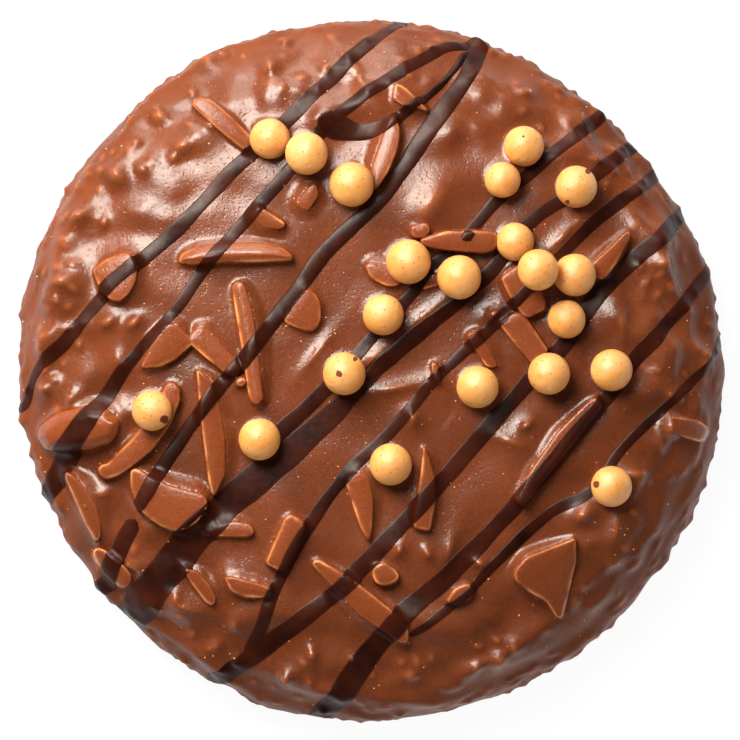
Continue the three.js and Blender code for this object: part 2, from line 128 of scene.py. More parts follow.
# Shards: rise over the coating, dome and slope of the face, and the corners of the face, each with x, y and
# the reach of the coating's foot there: short where the side is steep and long where it is gentle
SHARDS = [
    (1.9, 0.12, (-0.18, 0.18), [(-24.1, 35.9, 0.4), (-22.3, 34.2, 0.4), (-19.1, 31.4, 0.4),
        (-16.8, 29.7, 0.4), (-16, 30.4, 0.5), (-15.9, 31.4, 0.6), (-18.5, 34.1, 0.6), (-21.5, 36.7, 0.6),
        (-23, 37.1, 0.6), (-24, 36.5, 0.4)]),
    (1.3, 0.18, (0.1, 0.12), [(-8.6, 24.6, 1.6), (-9.8, 22.9, 1.6), (-9.4, 21.9, 1.2), (-8.3, 21.6, 1.2),
        (-6.9, 23.8, 1), (-7.4, 25.5, 0.5)]),
    (1.5, 0.18, (0.12, -0.03), [(2.6, 34.3, 0.8), (1.6, 31.6, 1.5), (0.4, 28.2, 1.5), (0, 25.6, 0.8),
        (0.8, 24.4, 0.4), (2.5, 27, 0.4), (3.7, 30, 0.4), (4.1, 32.4, 0.4), (3.5, 34.5, 0.4)]),
    (1.4, 0.18, (-0.1, 0.05), [(3.1, 36.8, 0.6), (4.8, 35.7, 0.9), (6.2, 35.7, 0.9), (7.9, 35.1, 0.6),
        (6.6, 36.6, 0.6), (5.1, 38.1, 0.5), (3.9, 38.9, 0.4), (3.3, 38.6, 0.4)]),
    (1.2, 0.18, (0.08, 0.16), [(-16.2, 20.7, 1.3), (-14.6, 19.4, 1.5), (-12.2, 19, 1.1),
        (-11.4, 19.8, 0.4), (-13.4, 21.2, 0.4), (-15.4, 22.3, 0.5)]),
    (1.9, 0.18, (0, 0), [(-36.6, 10.9, 0.4), (-35.2, 9.5, 0.4), (-34, 9.3, 0.4), (-32.6, 10.5, 0.7),
        (-31.8, 12.1, 0.9), (-31.6, 14.2, 1), (-32.4, 15.7, 0.9), (-33.5, 15.9, 0.9), (-35.9, 15, 0.7),
        (-37.7, 13.5, 0.45)]),
    (1.5, 0.9, (0.05, -0.14), [(-24.2, 14.3, 0.4), (-20.1, 14.6, 0.4), (-14.7, 14.7, 0.4),
        (-10.7, 14.9, 0.4), (-10.4, 15.4, 0.5), (-11.7, 16.5, 0.8), (-14.7, 17.2, 0.9),
        (-20.1, 17.2, 0.9), (-23.4, 16.8, 0.9), (-25.6, 15.8, 0.8), (-26, 14.6, 0.4)]),
    (1.6, 0.18, (-0.1, 0.08), [(-28.6, 0.4, 0.35), (-26.5, 1.4, 0.35), (-24.6, 3.1, 0.4),
        (-23.8, 3.8, 0.5), (-25.6, 5.6, 1.3), (-26.9, 6.4, 1.2), (-28, 6, 1), (-29.6, 3.7, 1.5),
        (-31.1, 0.3, 0.7)]),
    (1.3, 0.18, (-0.05, -0.03), [(-22.1, 1.5, 0.35), (-19.2, -0.8, 0.4), (-17.4, -0.3, 0.7),
        (-17.9, 1.1, 1), (-20.1, 3.4, 1.3), (-22.7, 5.9, 1.2), (-23.8, 5.5, 1), (-24.9, 4, 0.4)]),
    (0.7, 0.18, (0, 0), [(-17.8, -2.3, 0.4), (-16.7, -1.8, 0.5), (-17.2, -1, 0.6), (-18.2, -1.4, 0.6)]),
    (1.7, 0.3, (0.12, -0.03), [(-18.3, 8.4, 0.35), (-17.4, 3, 0.35), (-16.4, -3.8, 0.35),
        (-15.8, -4.9, 0.4), (-14.4, -4.1, 0.8), (-14.8, -1.1, 1.3), (-15.3, 4, 1.6), (-16, 8.2, 1.5),
        (-17, 11.7, 0.9), (-17.9, 12.1, 0.5), (-18.7, 11.2, 0.4)]),
    (1.1, 0.18, (0, 0.05), [(-10.4, 5.9, 0.4), (-8.5, 5.2, 0.35), (-7.4, 5.5, 0.35), (-6.7, 6.8, 0.5),
        (-6.7, 9.1, 0.6), (-7.6, 10.6, 0.8), (-8.8, 11, 1.2), (-10.6, 8.7, 1.2), (-11.8, 6.7, 0.6)]),
    (1.6, 0.18, (0, 0), [(-28.7, -4.1, 0.5), (-30.6, -7.4, 0.5), (-32.6, -9.7, 0.45), (-34.6, -11.7, 0.4),
        (-35.6, -12.8, 0.4), (-36.6, -12.9, 0.4), (-37, -13.8, 0.4), (-36.1, -14.9, 0.4),
        (-34.4, -14.4, 0.4), (-32.4, -13.2, 0.7), (-29.6, -10.9, 0.8), (-27.2, -7.5, 0.8),
        (-25.8, -4.2, 0.6), (-25.8, -2.3, 0.5), (-27.3, -1.5, 0.5)]),
    (1.5, 1.4, (0, -0.02), [(-44.1, -10.9, 0.8), (-40.8, -11, 0.8), (-37.4, -10.6, 0.8), (-35, -9.7, 0.9),
        (-34.3, -8.5, 1), (-33.9, -7, 0.9), (-35.8, -5.2, 1), (-38.5, -4.8, 1.2), (-42.6, -5.9, 1.2),
        (-44.9, -7.6, 1), (-45.3, -9.1, 0.9)]),
    (1.6, 0.18, (-0.18, 0), [(-23.2, -4.4, 0.35), (-22.6, -9.5, 0.35), (-21.9, -15, 0.35),
        (-21.3, -17.3, 0.4), (-19.7, -14.3, 1.2), (-19.6, -10.2, 1.8), (-20.4, -4.8, 1.6),
        (-21.6, -1.4, 1.1), (-23.5, 0.1, 0.5)]),
    (2.2, 0.18, (0, -0.03), [(-32.5, -15.9, 0.4), (-31.8, -18, 0.35), (-30.5, -19.8, 0.35),
        (-28.6, -21.1, 0.35), (-26.8, -21.8, 0.35), (-25.6, -21.8, 0.4), (-23.5, -20.7, 0.5),
        (-22, -18.5, 0.7), (-22.3, -17, 1), (-23.8, -16.6, 1.6), (-27.2, -15.7, 1.5), (-29.9, -14.4, 1.1),
        (-31.6, -13.4, 0.6), (-32.5, -13.6, 0.4)]),
    (1.4, 0.18, (-0.2, 0.05), [(-40.3, -17.3, 0.4), (-38.8, -20.7, 0.4), (-37.4, -23.2, 0.4),
        (-36.7, -22.9, 0.6), (-36.6, -21, 1.3), (-37.1, -18.8, 1.6), (-38.8, -15.9, 1.4),
        (-40.5, -14.2, 0.8), (-41.4, -13.9, 0.5), (-41.4, -14.7, 0.4)]),
    (1, 0.18, (0, -0.06), [(-19.6, -22.6, 0.35), (-16.3, -22.6, 0.35), (-15.7, -22.1, 0.4),
        (-16.3, -21, 0.6), (-18.3, -20.6, 1.4), (-21.3, -21, 1.3), (-22.6, -22.4, 0.6)]),
    (1.6, 0.18, (0, 0), [(-12.7, -22.8, 0.7), (-14.2, -26.3, 0.5), (-11.7, -27.5, 0.4),
        (-8.9, -22.1, 0.4), (-8.7, -20.9, 0.4), (-10.7, -19.6, 0.4), (-11.5, -20, 0.5)]),
    (1.4, 0.18, (0, 0.08), [(-18.9, -30, 0.35), (-17, -30.8, 0.35), (-14.9, -30.9, 0.35),
        (-13.6, -30.7, 0.4), (-13.2, -29.7, 0.6), (-15.6, -28.9, 0.9), (-18.3, -28.2, 0.8),
        (-19.7, -28.1, 0.4)]),
    (1.2, 0.18, (-0.1, 0), [(-24.1, -29.2, 0.35), (-22.3, -31.6, 0.35), (-21.3, -32, 0.5),
        (-20.9, -31.1, 0.8), (-21.7, -29.3, 1), (-23.4, -27.5, 0.9), (-24.5, -27.1, 0.6),
        (-25.3, -27.1, 0.4)]),
    (1.3, 0.18, (0, 0.05), [(-37.3, -26.1, 0.4), (-36, -27.6, 0.4), (-34, -29.7, 0.4),
        (-32.9, -29.5, 0.5), (-32.2, -28.2, 0.6), (-33.3, -26.8, 0.6), (-35.5, -24.9, 0.6),
        (-36.9, -24.1, 0.5), (-37.8, -24.7, 0.4)]),
    (1.9, 0.18, (0.08, 0.06), [(-7, -27.4, 0.9), (-3.7, -30.9, 1.6), (-1.3, -33.4, 1.5), (2.1, -35.6, 1),
        (4.2, -37.1, 0.5), (5.1, -37, 0.4), (5.2, -35.1, 0.5), (3.2, -32.9, 0.45), (-0.1, -30.2, 0.45),
        (-3.4, -27.8, 0.45), (-7.1, -25.7, 0.4), (-8, -26.2, 0.4)]),
    (1.3, 0.18, (0, 0), [(0.4, -28.3, 0.35), (1.3, -29.3, 0.35), (2.9, -29.1, 0.4), (4, -28.2, 0.4),
        (3.6, -27.3, 0.5), (1.9, -26.1, 0.4), (0.4, -26.8, 0.4)]),
    (1.2, 0.18, (-0.08, -0.03), [(-2.4, -18.1, 0.35), (-1.3, -21.3, 0.35), (-0.1, -23.4, 0.4),
        (0.2, -21.8, 0.7), (0.5, -17.7, 1.1), (-0.3, -14.2, 1.4), (-2, -13.9, 1.3), (-3.3, -15.1, 0.5)]),
    (1.1, 0.18, (0, 0), [(5.7, 17.9, 0.4), (7.4, 18, 0.5), (8.2, 18.8, 0.5), (7.8, 19.9, 0.5),
        (5.4, 19.5, 0.4)]),
    (1.1, 0.18, (0, -0.08), [(0.1, 12.5, 0.4), (2.2, 11.4, 0.4), (3.9, 11.4, 0.4), (4.4, 12.8, 0.7),
        (2.8, 14.2, 1.4), (0.3, 14.7, 1.2), (-0.6, 14.2, 0.7)]),
    (0.9, 0.18, (0, 0), [(7, 10.9, 0.4), (9.5, 11.6, 0.5), (9.1, 13.1, 0.5), (6.6, 12.4, 0.5)]),
    (2, 0.18, (-0.03, 0.03), [(18.7, 10.4, 0.8), (20.1, 8.3, 0.6), (21.2, 7, 0.4), (23.8, 8.2, 0.4),
        (23.8, 9.5, 0.5), (22, 13.4, 0.6), (20.1, 14.3, 0.8), (18.6, 13.2, 0.8), (17.8, 12.5, 0.6)]),
    (1, 0.18, (0, 0), [(20, 3.1, 0.6), (22.3, 0.5, 0.5), (24.3, 2.5, 0.4), (20.8, 7.8, 0.5),
        (19.3, 7.6, 0.6), (17.5, 6.3, 0.5)]),
    (1.2, 0.18, (-0.2, 0), [(14.5, 2.5, 0.35), (15.9, 0.3, 0.4), (17.4, 0.4, 1), (16.3, 2.7, 1.3),
        (14.4, 5.3, 0.9), (13, 4.8, 0.5)]),
    (0.9, 0.18, (0, 0), [(8.5, -0.8, 0.4), (9.3, -2.2, 0.7), (9.6, -0.8, 0.9), (9.1, 0.8, 0.8),
        (8.4, 1, 0.4)]),
    (1.5, 0.18, (0, 0), [(25.4, -8.5, 1), (21.9, -13.6, 0.9), (19.7, -17.7, 0.5), (20.8, -18.7, 0.5),
        (23.2, -15.3, 0.6), (28.3, -9, 0.6), (31.7, -4.6, 0.5), (30.6, -3.8, 0.4), (29.5, -4.4, 0.4)]),
    (1.5, 0.18, (-0.1, 0), [(6.9, -14.3, 0.35), (6.2, -18.4, 0.4), (5.9, -21.4, 0.4), (8.1, -21.8, 0.4),
        (8.8, -18.4, 0.8), (8.9, -15, 1), (8, -11.7, 0.9), (7.3, -10.2, 0.4)]),
    (1.4, 0.18, (-0.03, 0.05), [(31.8, 12.1, 0.6), (33.5, 14.6, 0.6), (35.1, 17.6, 0.5),
        (35.4, 18.7, 0.4), (34.7, 18.7, 0.6), (32.8, 16.8, 0.9), (30.7, 14.9, 0.8), (29.2, 13.4, 0.5)]),
    (1.5, 0.18, (-0.2, 0), [(40.8, -8.4, 1.2), (42.9, -9.2, 0.4), (45, -9.8, 0.4), (45.6, -9, 0.4),
        (45.9, -7.9, 0.4), (45.1, -7.1, 0.4), (43, -6.6, 0.4), (40.9, -6.3, 0.9), (41, -7.4, 1.5)]),
    (1.9, 0.18, (-0.12, 0.1), [(27.9, -22.8, 0.5), (26, -23.6, 0.7), (21.2, -25.4, 0.9),
        (19.6, -27.3, 0.7), (19.7, -28.6, 0.5), (21.9, -30.3, 0.5), (23.9, -31.3, 0.5),
        (25.4, -33.7, 0.4), (26.1, -33.7, 0.4), (26.9, -30.7, 0.5), (28, -25.9, 0.6)]),
    (1, 0.18, (0, 0), [(11.7, -31.9, 0.4), (13.4, -31.1, 0.4), (14.2, -29.6, 0.4), (13.2, -29, 0.5),
        (11.4, -29.8, 0.6), (10.4, -31.5, 0.5)]),
]
# Shards that lie on top of the strands
TOP_SHARDS = [
    (2.6, 0.18, (0, 0.12), [(7.3, 16.9, 0.7), (9.2, 16.4, 1.2), (12.3, 16.1, 1.6), (15.5, 15.8, 1.6),
        (17.1, 16.4, 0.8), (17.4, 17.7, 0.5), (17, 18.7, 0.4), (14.4, 18.9, 0.4), (10.3, 18.8, 0.4),
        (8.5, 18.3, 0.4), (6.8, 17.7, 0.4)]),
]
SHARD_SEED = 11
SHARD_POINTS = 96
CORNER_STEP = 1.2  # sides are cut to this length before their corners are worn round
CORNER_CUTS = 3
CUT_SHARE = 0.25
OUTWARD_STEP = 2  # points to either side that give an outline's direction
ROOM_STEP = 2  # points to either side over which the room inside is evened out

# The coating beside a shard: the reach of its foot, and how far up it climbs on a steep or gentle side
LEAST_FOOT = 0.55
STEEP_FOOT = 0.5
GENTLE_FOOT = 0.9  # how much longer than on a steep side the foot is on a gentle one
FOOT_SPREAD = 1.25
FOOT_CURVE = 1.7
FOOT_MARGIN = 3.0
FOOT_FRONT = 0.6  # share of the shards' own colour that the climbing coating takes
STEEP_CLIMB = 0.22
GENTLE_CLIMB = 0.93
INNER_FALL = 0.8
CLIMB_LEAN = 0.6  # share of a shard's level that its foot leans out over a sloping side
# Rings of a shard's wall: share of the wall's slope, share of the rise, and how much thinner the coating is
# there, which also sets the painted edge highlight
WALL_SLOPE = 0.3
GENTLE_SLOPE = 0.12  # how much less the wall slopes where the side is gentle
SHARD_WALL = [
    (1.6, -0.4, 0.0), (1.0, 0.0, 0.0), (0.62, 0.3, 0.0), (0.32, 0.58, 0.08), (0.14, 0.76, 0.22),
    (0.05, 0.86, 0.5),
]
# Rings of its face: how far in, share of its rise, and how much thinner the coating is there, which also sets
# the painted edge highlight
SHARD_FACE_RINGS = [
    (0.0, 0.91, 0.85), (0.06, 0.95, 1.0), (0.14, 0.98, 0.8), (0.26, 0.995, 0.4), (0.45, 1.0, 0.14),
    (0.8, 1.0, 0.0), (1.4, 1.0, 0.0), (2.4, 1.0, 0.0),
]
DOME_REACH = 2.0
FACE_ROOM = 0.9  # share of the room inside an outline that the rings of its face take up
# How strongly a shard's edges take the lighter edge colour of a thinner coating and a painted highlight: at
# most, how much less by the reach of the foot, at least, and in waves
THIN_EDGE_HIGHLIGHT = 1.4
THIN_EDGE_HIGHLIGHT_FALL = 1.35
LEAST_THIN_EDGE_HIGHLIGHT = 0.1
THIN_EDGE_HIGHLIGHT_LEVEL = 0.72
THIN_EDGE_HIGHLIGHT_DEPTH = 0.28
THIN_EDGE_HIGHLIGHT_WAVES = 3
THIN_EDGE_HIGHLIGHT_TURN = 6

# Dark strands that lie almost flush: widths along the way, and the points that each passes from edge to edge
STRANDS = [
    ((2.0, 2.0, 2.0, 1.8, 1.3), [
        (3.7, 46.8), (-3.3, 41.4), (-11.1, 33.9), (-19.3, 26.4), (-25.6, 19.6), (-31.6, 14.3), (-36.1, 9.9),
        (-41.5, 3.3), (-44.9, -0.5), (-46.4, -4.8)]),
    ((1.7, 1.7, 1.8, 1.8, 1.8, 1.7, 1.4, 2.2, 3.4, 2.8), [
        (14.0, 44.2), (9.6, 43.3), (2.8, 39.4), (-5.1, 33.8), (-12.9, 24.9), (-18.3, 18.7), (-22.6, 13.6),
        (-26.9, 7.6), (-33.7, -0.4), (-38.5, -7.9), (-43.5, -16.4)]),
    ((2.0, 1.8, 1.5, 1.8, 2.4), [
        (31.4, 34.5), (23.9, 28.6), (17.5, 23.2), (13.0, 18.1), (8.2, 13.9), (5.8, 10.5), (0.3, 4.4),
        (-6.5, -3.1), (-11.2, -7.5), (-14.7, -10.5)]),
    ((2.0, 2.0, 2.0, 2.2, 4.0, 4.6, 5.4), [
        (35.1, 30.0), (27.9, 24.5), (21.5, 19.8), (16.2, 13.2), (8.2, 6.3), (1.0, 0.4), (-4.7, -5.6),
        (-11.5, -11.6), (-19.3, -18.1), (-25.8, -24.9), (-31.7, -32.7)]),
    ((2.0, 1.6, 1.6, 1.8, 1.8), [
        (38.5, 26.2), (30.6, 20.2), (23.2, 12.9), (16.2, 5.6), (9.2, -0.8), (3.5, -7.6), (-3.1, -14.0),
        (-8.1, -20.9), (-12.6, -28.9), (-14.7, -34.8), (-16.7, -39.0)]),
    ((2.2, 2.3, 2.3, 2.4, 2.9), [
        (41.8, 20.6), (32.2, 11.6), (26.6, 3.8), (19.0, -4.4), (11.7, -12.9), (4.2, -21.0), (-3.2, -28.8),
        (-11.9, -35.8), (-20.6, -41.8)]),
    ((1.9, 2.1, 2.3, 2.4, 3.2, 4.1), [
        (45.3, 13.1), (37.8, 3.7), (31.7, -4.1), (24.6, -12.5), (18.7, -19.5), (11.7, -26.9), (7.9, -30.2),
        (4.0, -33.5), (1.5, -36.6), (-1.6, -40.3), (-6.5, -46.6)]),
    ((1.6, 1.2, 1.6, 1.1), [
        (46.9, 3.4), (41.0, -3.8), (34.3, -10.4), (30.1, -16.2), (24.3, -19.6), (17.8, -25.4), (13.0, -30.4),
        (5.4, -36.0)]),
]
# Strands that stand up more
CORDS = [
    ((1.1, 1.0, 1.0, 1.0, 1.1, 1.3, 1.7, 2.2, 2.7, 3.6, 2.8), [
        (13.4, 43.2), (12.1, 41.7), (10.8, 40.1), (9.1, 38.2), (7.0, 36.5), (4.6, 34.8), (2.9, 33.8),
        (0.9, 32.8), (-1.2, 32.3), (-3.4, 32.6), (-5.4, 33.3), (-7.0, 34.0)]),
    ((2.7, 2.4, 2.2, 2.0, 1.9), [
        (14.8, 43.8), (12.9, 39.5), (8.0, 32.7), (1.7, 23.6), (-5.2, 17.0), (-9.9, 10.9), (-15.6, 3.4),
        (-21.5, -3.7), (-26.9, -11.2), (-29.5, -15.5), (-31.4, -18.9)]),
    ((2.3, 2.5, 2.6, 3.0), [(-31.6, -20.2), (-33.2, -23.0), (-34.4, -25.6), (-35.5, -28.6)]),
    ((0.8, 1.8, 2.4, 2.2, 0.8), [(14.6, 11.8), (8.2, 6.3), (1.0, 0.4), (-2.6, -3.2)]),
]
# Drops of the dark chocolate on the shards that lie on top
DROPS = [((1.6, 1.7, 1.6), [(14.1, 18.5), (13.2, 18.1), (12.4, 17.6)])]
EDGE_DISTANCE = 45.5  # beyond this a strand's end runs on down the side
RUN_DOWN = 4.0
BASE_CLEARANCE = 1.5
ROUTE_STEP = 0.3
ROUTE_CUTS = 24  # parts of a route between two of its points
STRAND_STEP = 0.2
STRAND_TAPER = 1.0
TAPER_POWER = 0.5
BULGE_POWER = 0.6
SKY_HEIGHT = 8.0  # where the rays that lay a strand on the ground start
SETTLE_ROUNDS = 6
LOWER_HALF = -0.01  # below this a point of a strand's section lies under the ground
STRAND_RIM = 0.03
STRAND_CLEARANCE = 0.05  # between a shard and a strand that lies over it
FILM_PROUD = 0.1
CORD_PROUD = 0.24
STRAND_DEPTH = 0.25
STRAND_SECTION = 22
# How a strand wavers: the lengths of its waves, their shift, and their share of the width
WAVER_SEED = 50
WAVER_LENGTHS = (7.3, 12.1, 19.7)
WAVER_SHIFT = 0.03
WAVER_WIDTH = 0.03

# Pearls
PEARL_NODES = sorted(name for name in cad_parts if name.startswith("pearl"))
PEARL_SUBDIVISIONS = 5
PEARL_SEAT = 0.9  # share of a pearl's radius where the coating meets it
PEARL_COLLAR = 0.17
COLLAR_FALL = 0.35
COLLAR_REACH = 2  # radii from a pearl's middle
PEARL_UNEVENNESS = 0.16
UNEVEN_LEVEL = 0.55
UNEVEN_SCALE = 320.0
SPOT_EDGE = 1.6  # radii where a spot has died away
# Brown spots on the pearls as seen from above: x, y, radius
PEARL_SPOTS = [
    (-27.9, -6.7, 0.5), (29.6, 27.0, 0.36), (26.8, 22.8, 0.26), (-4.2, -0.5, 0.42), (-2.0, 1.5, 0.28),
    (20.8, 31.7, 0.16), (30.7, -15.5, 0.4),
]

# Loose specks on the coating
SPECK_DENSITY = 0.05  # for each square millimetre
SPECK_RADIUS = 0.085
SPECK_LEAST = 0.4
SPECK_MOST = 1.4
SPECK_FINENESS = 2
SPECK_UPWARD = 0.05  # specks lie only where the coating faces up by more than this
SPECK_SEED = 4

# Camera and light
PHOTO_SIZE = 740
PHOTO_SPAN = 697  # width of the biscuit in the photograph, in its pixels
CAMERA_LENS = 1000.0
SENSOR = 36.0
RIM_LEVEL = 5.0  # height of the outline that the camera frames
LIGHT_COLOUR = (1.0, 0.95, 0.85)
WORLD_STRENGTH = 0.05
# Lights from the upper left: place and size in metres, watts, and whether the gloss shows them
UPPER_LIGHTS = {
    "key": ((-0.12, 0.175, 0.3), 0.18, 2.45, True),
    "low": ((-0.3, 0.33, 0.2), 0.2, 3.4, False),
}
# Lights round the sides: turn in degrees, height and size in metres, watts, and whether the gloss shows them
SIDE_DISTANCE = 0.6
SIDE_LIGHTS = [
    (100, 0.24, 0.4, 3.2, True), (50, 0.12, 0.4, 0.6, False), (210, 0.12, 0.4, 1.4, False),
    (270, 0.12, 0.4, 1.2, False), (330, 0.12, 0.4, 1.4, False),
]
FLOOR_SIZE = 6  # metres
FLOOR_DARK = (0.03, 0.03, 0.03, 1)
FLOOR_LIGHT = (0.033, 0.033, 0.033, 1)
FLOOR_GLOW = 0.95


# Repeatable random numbers, by the minimal standard generator as in the solid
def seeded_draws(seed):
    factor, modulus = 16807, 2147483647
    state = seed
    while True:
        state = (state * factor) % modulus
        yield state / modulus


def between(draw, limits):
    low, high = limits
    return low + (high - low) * next(draw)


def level_way(turn):
    return np.array([math.cos(turn), math.sin(turn), 0.0])


def any_way(draw):
    return level_way(2 * math.pi * next(draw))


# The smooth coating, unrolled from its crown
def crown_at(distance):
    share = np.minimum(np.asarray(distance, float) / RADIUS, 1.0)
    return GIRTH_HEIGHT + DOME * np.sqrt(1 - share ** SHOULDER_POWER)


def side_profile():
    """Reach along the side from crown to base, with the distance from the axis and the height."""
    distance = RADIUS * np.sin(np.linspace(0, math.pi / 2, PROFILE_POINTS))
    height = crown_at(distance)
    foot = np.linspace(1, 0, FOOT_POINTS)[1:]
    distance = np.append(distance, RADIUS - FOOT_INSET * (1 - foot) ** 2)
    height = np.append(height, GIRTH_HEIGHT * foot)
    reach = np.append(0, np.cumsum(np.hypot(np.diff(distance), np.diff(height))))
    return reach, distance, height


REACH, DISTANCE, HEIGHT = side_profile()
FULL_REACH = REACH[-1]
GIRTH_INDEX = int(np.argmax(DISTANCE))


def reach_at(distance):
    return np.interp(distance, DISTANCE[:GIRTH_INDEX + 1], REACH[:GIRTH_INDEX + 1])


def seen_at(x, y):
    """Point of the smooth coating that shows at a place from above, and its reach from the crown."""
    distance = math.hypot(x, y)
    return np.array([x, y, crown_at(distance)]), reach_at(distance)


def lie_on_coating(flat):
    """Points and outward directions of the smooth coating for unrolled places."""
    reach = np.hypot(flat[:, 0], flat[:, 1])
    heading = flat / np.maximum(reach, TINY)[:, None]
    distance = np.interp(reach, REACH, DISTANCE)
    height = np.interp(reach, REACH, HEIGHT)
    out = np.interp(reach, REACH, np.gradient(DISTANCE, REACH))
    down = np.interp(reach, REACH, np.gradient(HEIGHT, REACH))
    length = np.hypot(out, down)
    point = np.column_stack([heading * distance[:, None], height])
    normal = np.column_stack([heading * (-down / length)[:, None], out / length])
    return point, normal


def unrolled(places):
    """Unrolled places of points seen from above."""
    places = np.asarray(places, float)
    distance = np.hypot(places[:, 0], places[:, 1])
    return places * (reach_at(distance) / np.maximum(distance, TINY))[:, None]


def raised(plan, height):
    """Points at a height over the smooth coating that show at the given places from above."""
    base = np.array(plan)
    for _ in range(FIT_ROUNDS):
        point, normal = lie_on_coating(unrolled(base))
        place = point + normal * height[:, None]
        base += plan - place[:, :2]
    return place


# Meshes
def mesh_piece(name, points, faces, material=None, attributes=None):
    mesh = bpy.data.meshes.new(name)
    mesh.from_pydata((np.asarray(points) * MM).tolist(), [], faces)
    for label, values in (attributes or {}).items():
        mesh.attributes.new(label, "FLOAT", "POINT").data.foreach_set("value", np.asarray(values, np.float32))
    mesh.polygons.foreach_set("use_smooth", [True] * len(mesh.polygons))
    if material:
        mesh.materials.append(material)
    piece = bpy.data.objects.new(name, mesh)
    bpy.context.scene.collection.objects.link(piece)
    return piece


def ring_faces(inner_start, inner, outer_start, outer):
    """Triangles between two rings of points, the outer one with at least as many."""
    step = np.arange(outer)
    near = np.round(step * inner / outer).astype(int)
    far = np.round((step + 1) * inner / outer).astype(int)
    here = outer_start + step
    after = outer_start + (step + 1) % outer
    wide = np.column_stack([inner_start + near % inner, here, after])
    if inner == 1:
        return wide
    turn = far > near
    slim = np.column_stack([inner_start + near % inner, after, inner_start + far % inner])[turn]
    return np.vstack([wide, slim])


class Coating:
    """The coated body: rings of points from the crown to the base, pushed out by its relief."""

    def __init__(self):
        rings = int(round(FULL_REACH / COATING_STEP))
        self.reach = np.linspace(0, FULL_REACH, rings + 1)
        self.count = np.maximum(1, np.round(2 * math.pi * self.reach / COATING_STEP)).astype(int)
        self.start = np.append(0, np.cumsum(self.count))
        flat = [
            reach * np.column_stack([np.cos(turn), np.sin(turn)])
            for reach, turn in zip(self.reach, map(self.turns, self.count))
        ]
        self.flat = np.vstack(flat)
        self.point, self.normal = lie_on_coating(self.flat)
        self.rise = np.zeros(len(self.point))
        self.thin_and_glow = np.zeros(len(self.point))
        self.front = np.zeros(len(self.point))

    @staticmethod
    def turns(count):
        return np.arange(count) * 2 * math.pi / count

    def window(self, reach, margin):
        first = np.searchsorted(self.reach, reach - margin)
        last = np.searchsorted(self.reach, reach + margin, side="right")
        return slice(self.start[first], self.start[last])

    def add_bump(self, middle, reach, height, spread, way, shows, stretch=CRUMB_STRETCH, crest=SOFT_CREST):
        """A pointed bump, drawn out along the given way."""
        part = self.window(reach, BUMP_REACH * spread / math.sqrt(1 - stretch))
        offset = self.point[part] - middle
        away = np.sqrt((offset ** 2).sum(1) - stretch * (offset @ way) ** 2 + SLIGHT) / spread
        weight = np.exp(-BUMP_FALL * away ** crest)
        self.rise[part] += height * weight
        self.thin_and_glow[part] = np.maximum(self.thin_and_glow[part], shows * weight)

    def add_swells(self):
        turn = np.arctan2(self.point[:, 1], self.point[:, 0])
        share = np.hypot(self.point[:, 0], self.point[:, 1]) / RADIUS
        for waves, deep, start in SWELLS:
            self.rise += deep * share ** SWELL_POWER * np.cos(waves * turn + math.radians(start))

    def add_lumps(self):
        draw = seeded_draws(LUMP_SEED)
        for x, y, height, spread in LUMPS:
            middle, reach = seen_at(x, y)
            way = any_way(draw)
            for tall, wide, shows in LUMP_PARTS:
                self.add_bump(middle, reach, tall * height, wide * spread, way, shows)

    def add_ridges(self, rows, crest):
        for x, y, long, wide, turn, height in rows:
            middle, reach = seen_at(x, y)
            stretch = 1 - (wide / long) ** 2
            way = level_way(math.radians(turn))
            self.add_bump(middle, reach, height, wide / 2, way, RIDGE_SHOWS, stretch, crest)

    def add_crumbs(self, count, seed, reaches, heights, spreads, shows, at_girth):
        draw = seeded_draws(seed)
        directions = seeded_draws(seed + 1)
        for index in range(count):
            reach = between(draw, reaches) * FULL_REACH
            turn = index * GOLDEN_ANGLE
            height = between(draw, heights) * np.interp(reach / FULL_REACH, CRUMB_FADE, (1.0, at_girth))
            spread = between(draw, spreads)
            flat = reach * np.array([[math.cos(turn), math.sin(turn)]])
            self.add_bump(lie_on_coating(flat)[0][0], reach, height, spread, any_way(directions), shows)

    def add_folds(self):
        draw = seeded_draws(FOLD_SEED)
        for index in range(FOLD_COUNT):
            reach = between(draw, FOLD_REACH) * FULL_REACH
            turn = index * GOLDEN_ANGLE
            heading = np.array([math.cos(turn), math.sin(turn)])
            point, normal = lie_on_coating(reach * heading[None])
            round_edge = np.array([-heading[1], heading[0], 0.0])
            aslant = between(draw, (-FOLD_TURN, FOLD_TURN))
            way = math.cos(aslant) * round_edge + math.sin(aslant) * np.cross(normal[0], round_edge)
            height = between(draw, FOLD_HEIGHT)
            self.add_bump(point[0], reach, height, between(draw, FOLD_SPREAD), way, 0.0, FOLD_STRETCH)

    def add_ripples(self):
        for count, seed, waves, height, shares in RIPPLES:
            draw = np.random.default_rng(seed)
            height = height * np.interp(np.hypot(*self.flat.T), RIPPLE_REACHES, shares)
            for _ in range(count):
                heading = draw.normal(size=3)
                heading /= np.linalg.norm(heading)
                wave = draw.uniform(*waves)
                start = draw.uniform(0, 2 * math.pi)
                self.rise += height * np.sin(self.point @ heading * 2 * math.pi / wave + start)

    def add_shard_feet(self, shards):
        """Makes the coating climb up to each shard."""
        base = self.rise.copy()
        for shard in shards:
            margin = shard.size + FOOT_MARGIN
            part = self.window(reach_at(np.hypot(*shard.middle)), margin)
            near = np.hypot(*(self.point[part, :2] - shard.middle).T) < margin
            index = np.arange(part.start, part.stop)[near]
            plan = self.point[index, :2]
            plan = plan + self.normal[index, :2] * (CLIMB_LEAN * shard.level(plan))[:, None]
            climb = shard.climb(plan)
            level = base[index] + climb * (shard.level(plan) - base[index])
            self.rise[index] = np.maximum(self.rise[index], level)
            self.front[index] = np.maximum(self.front[index], climb)

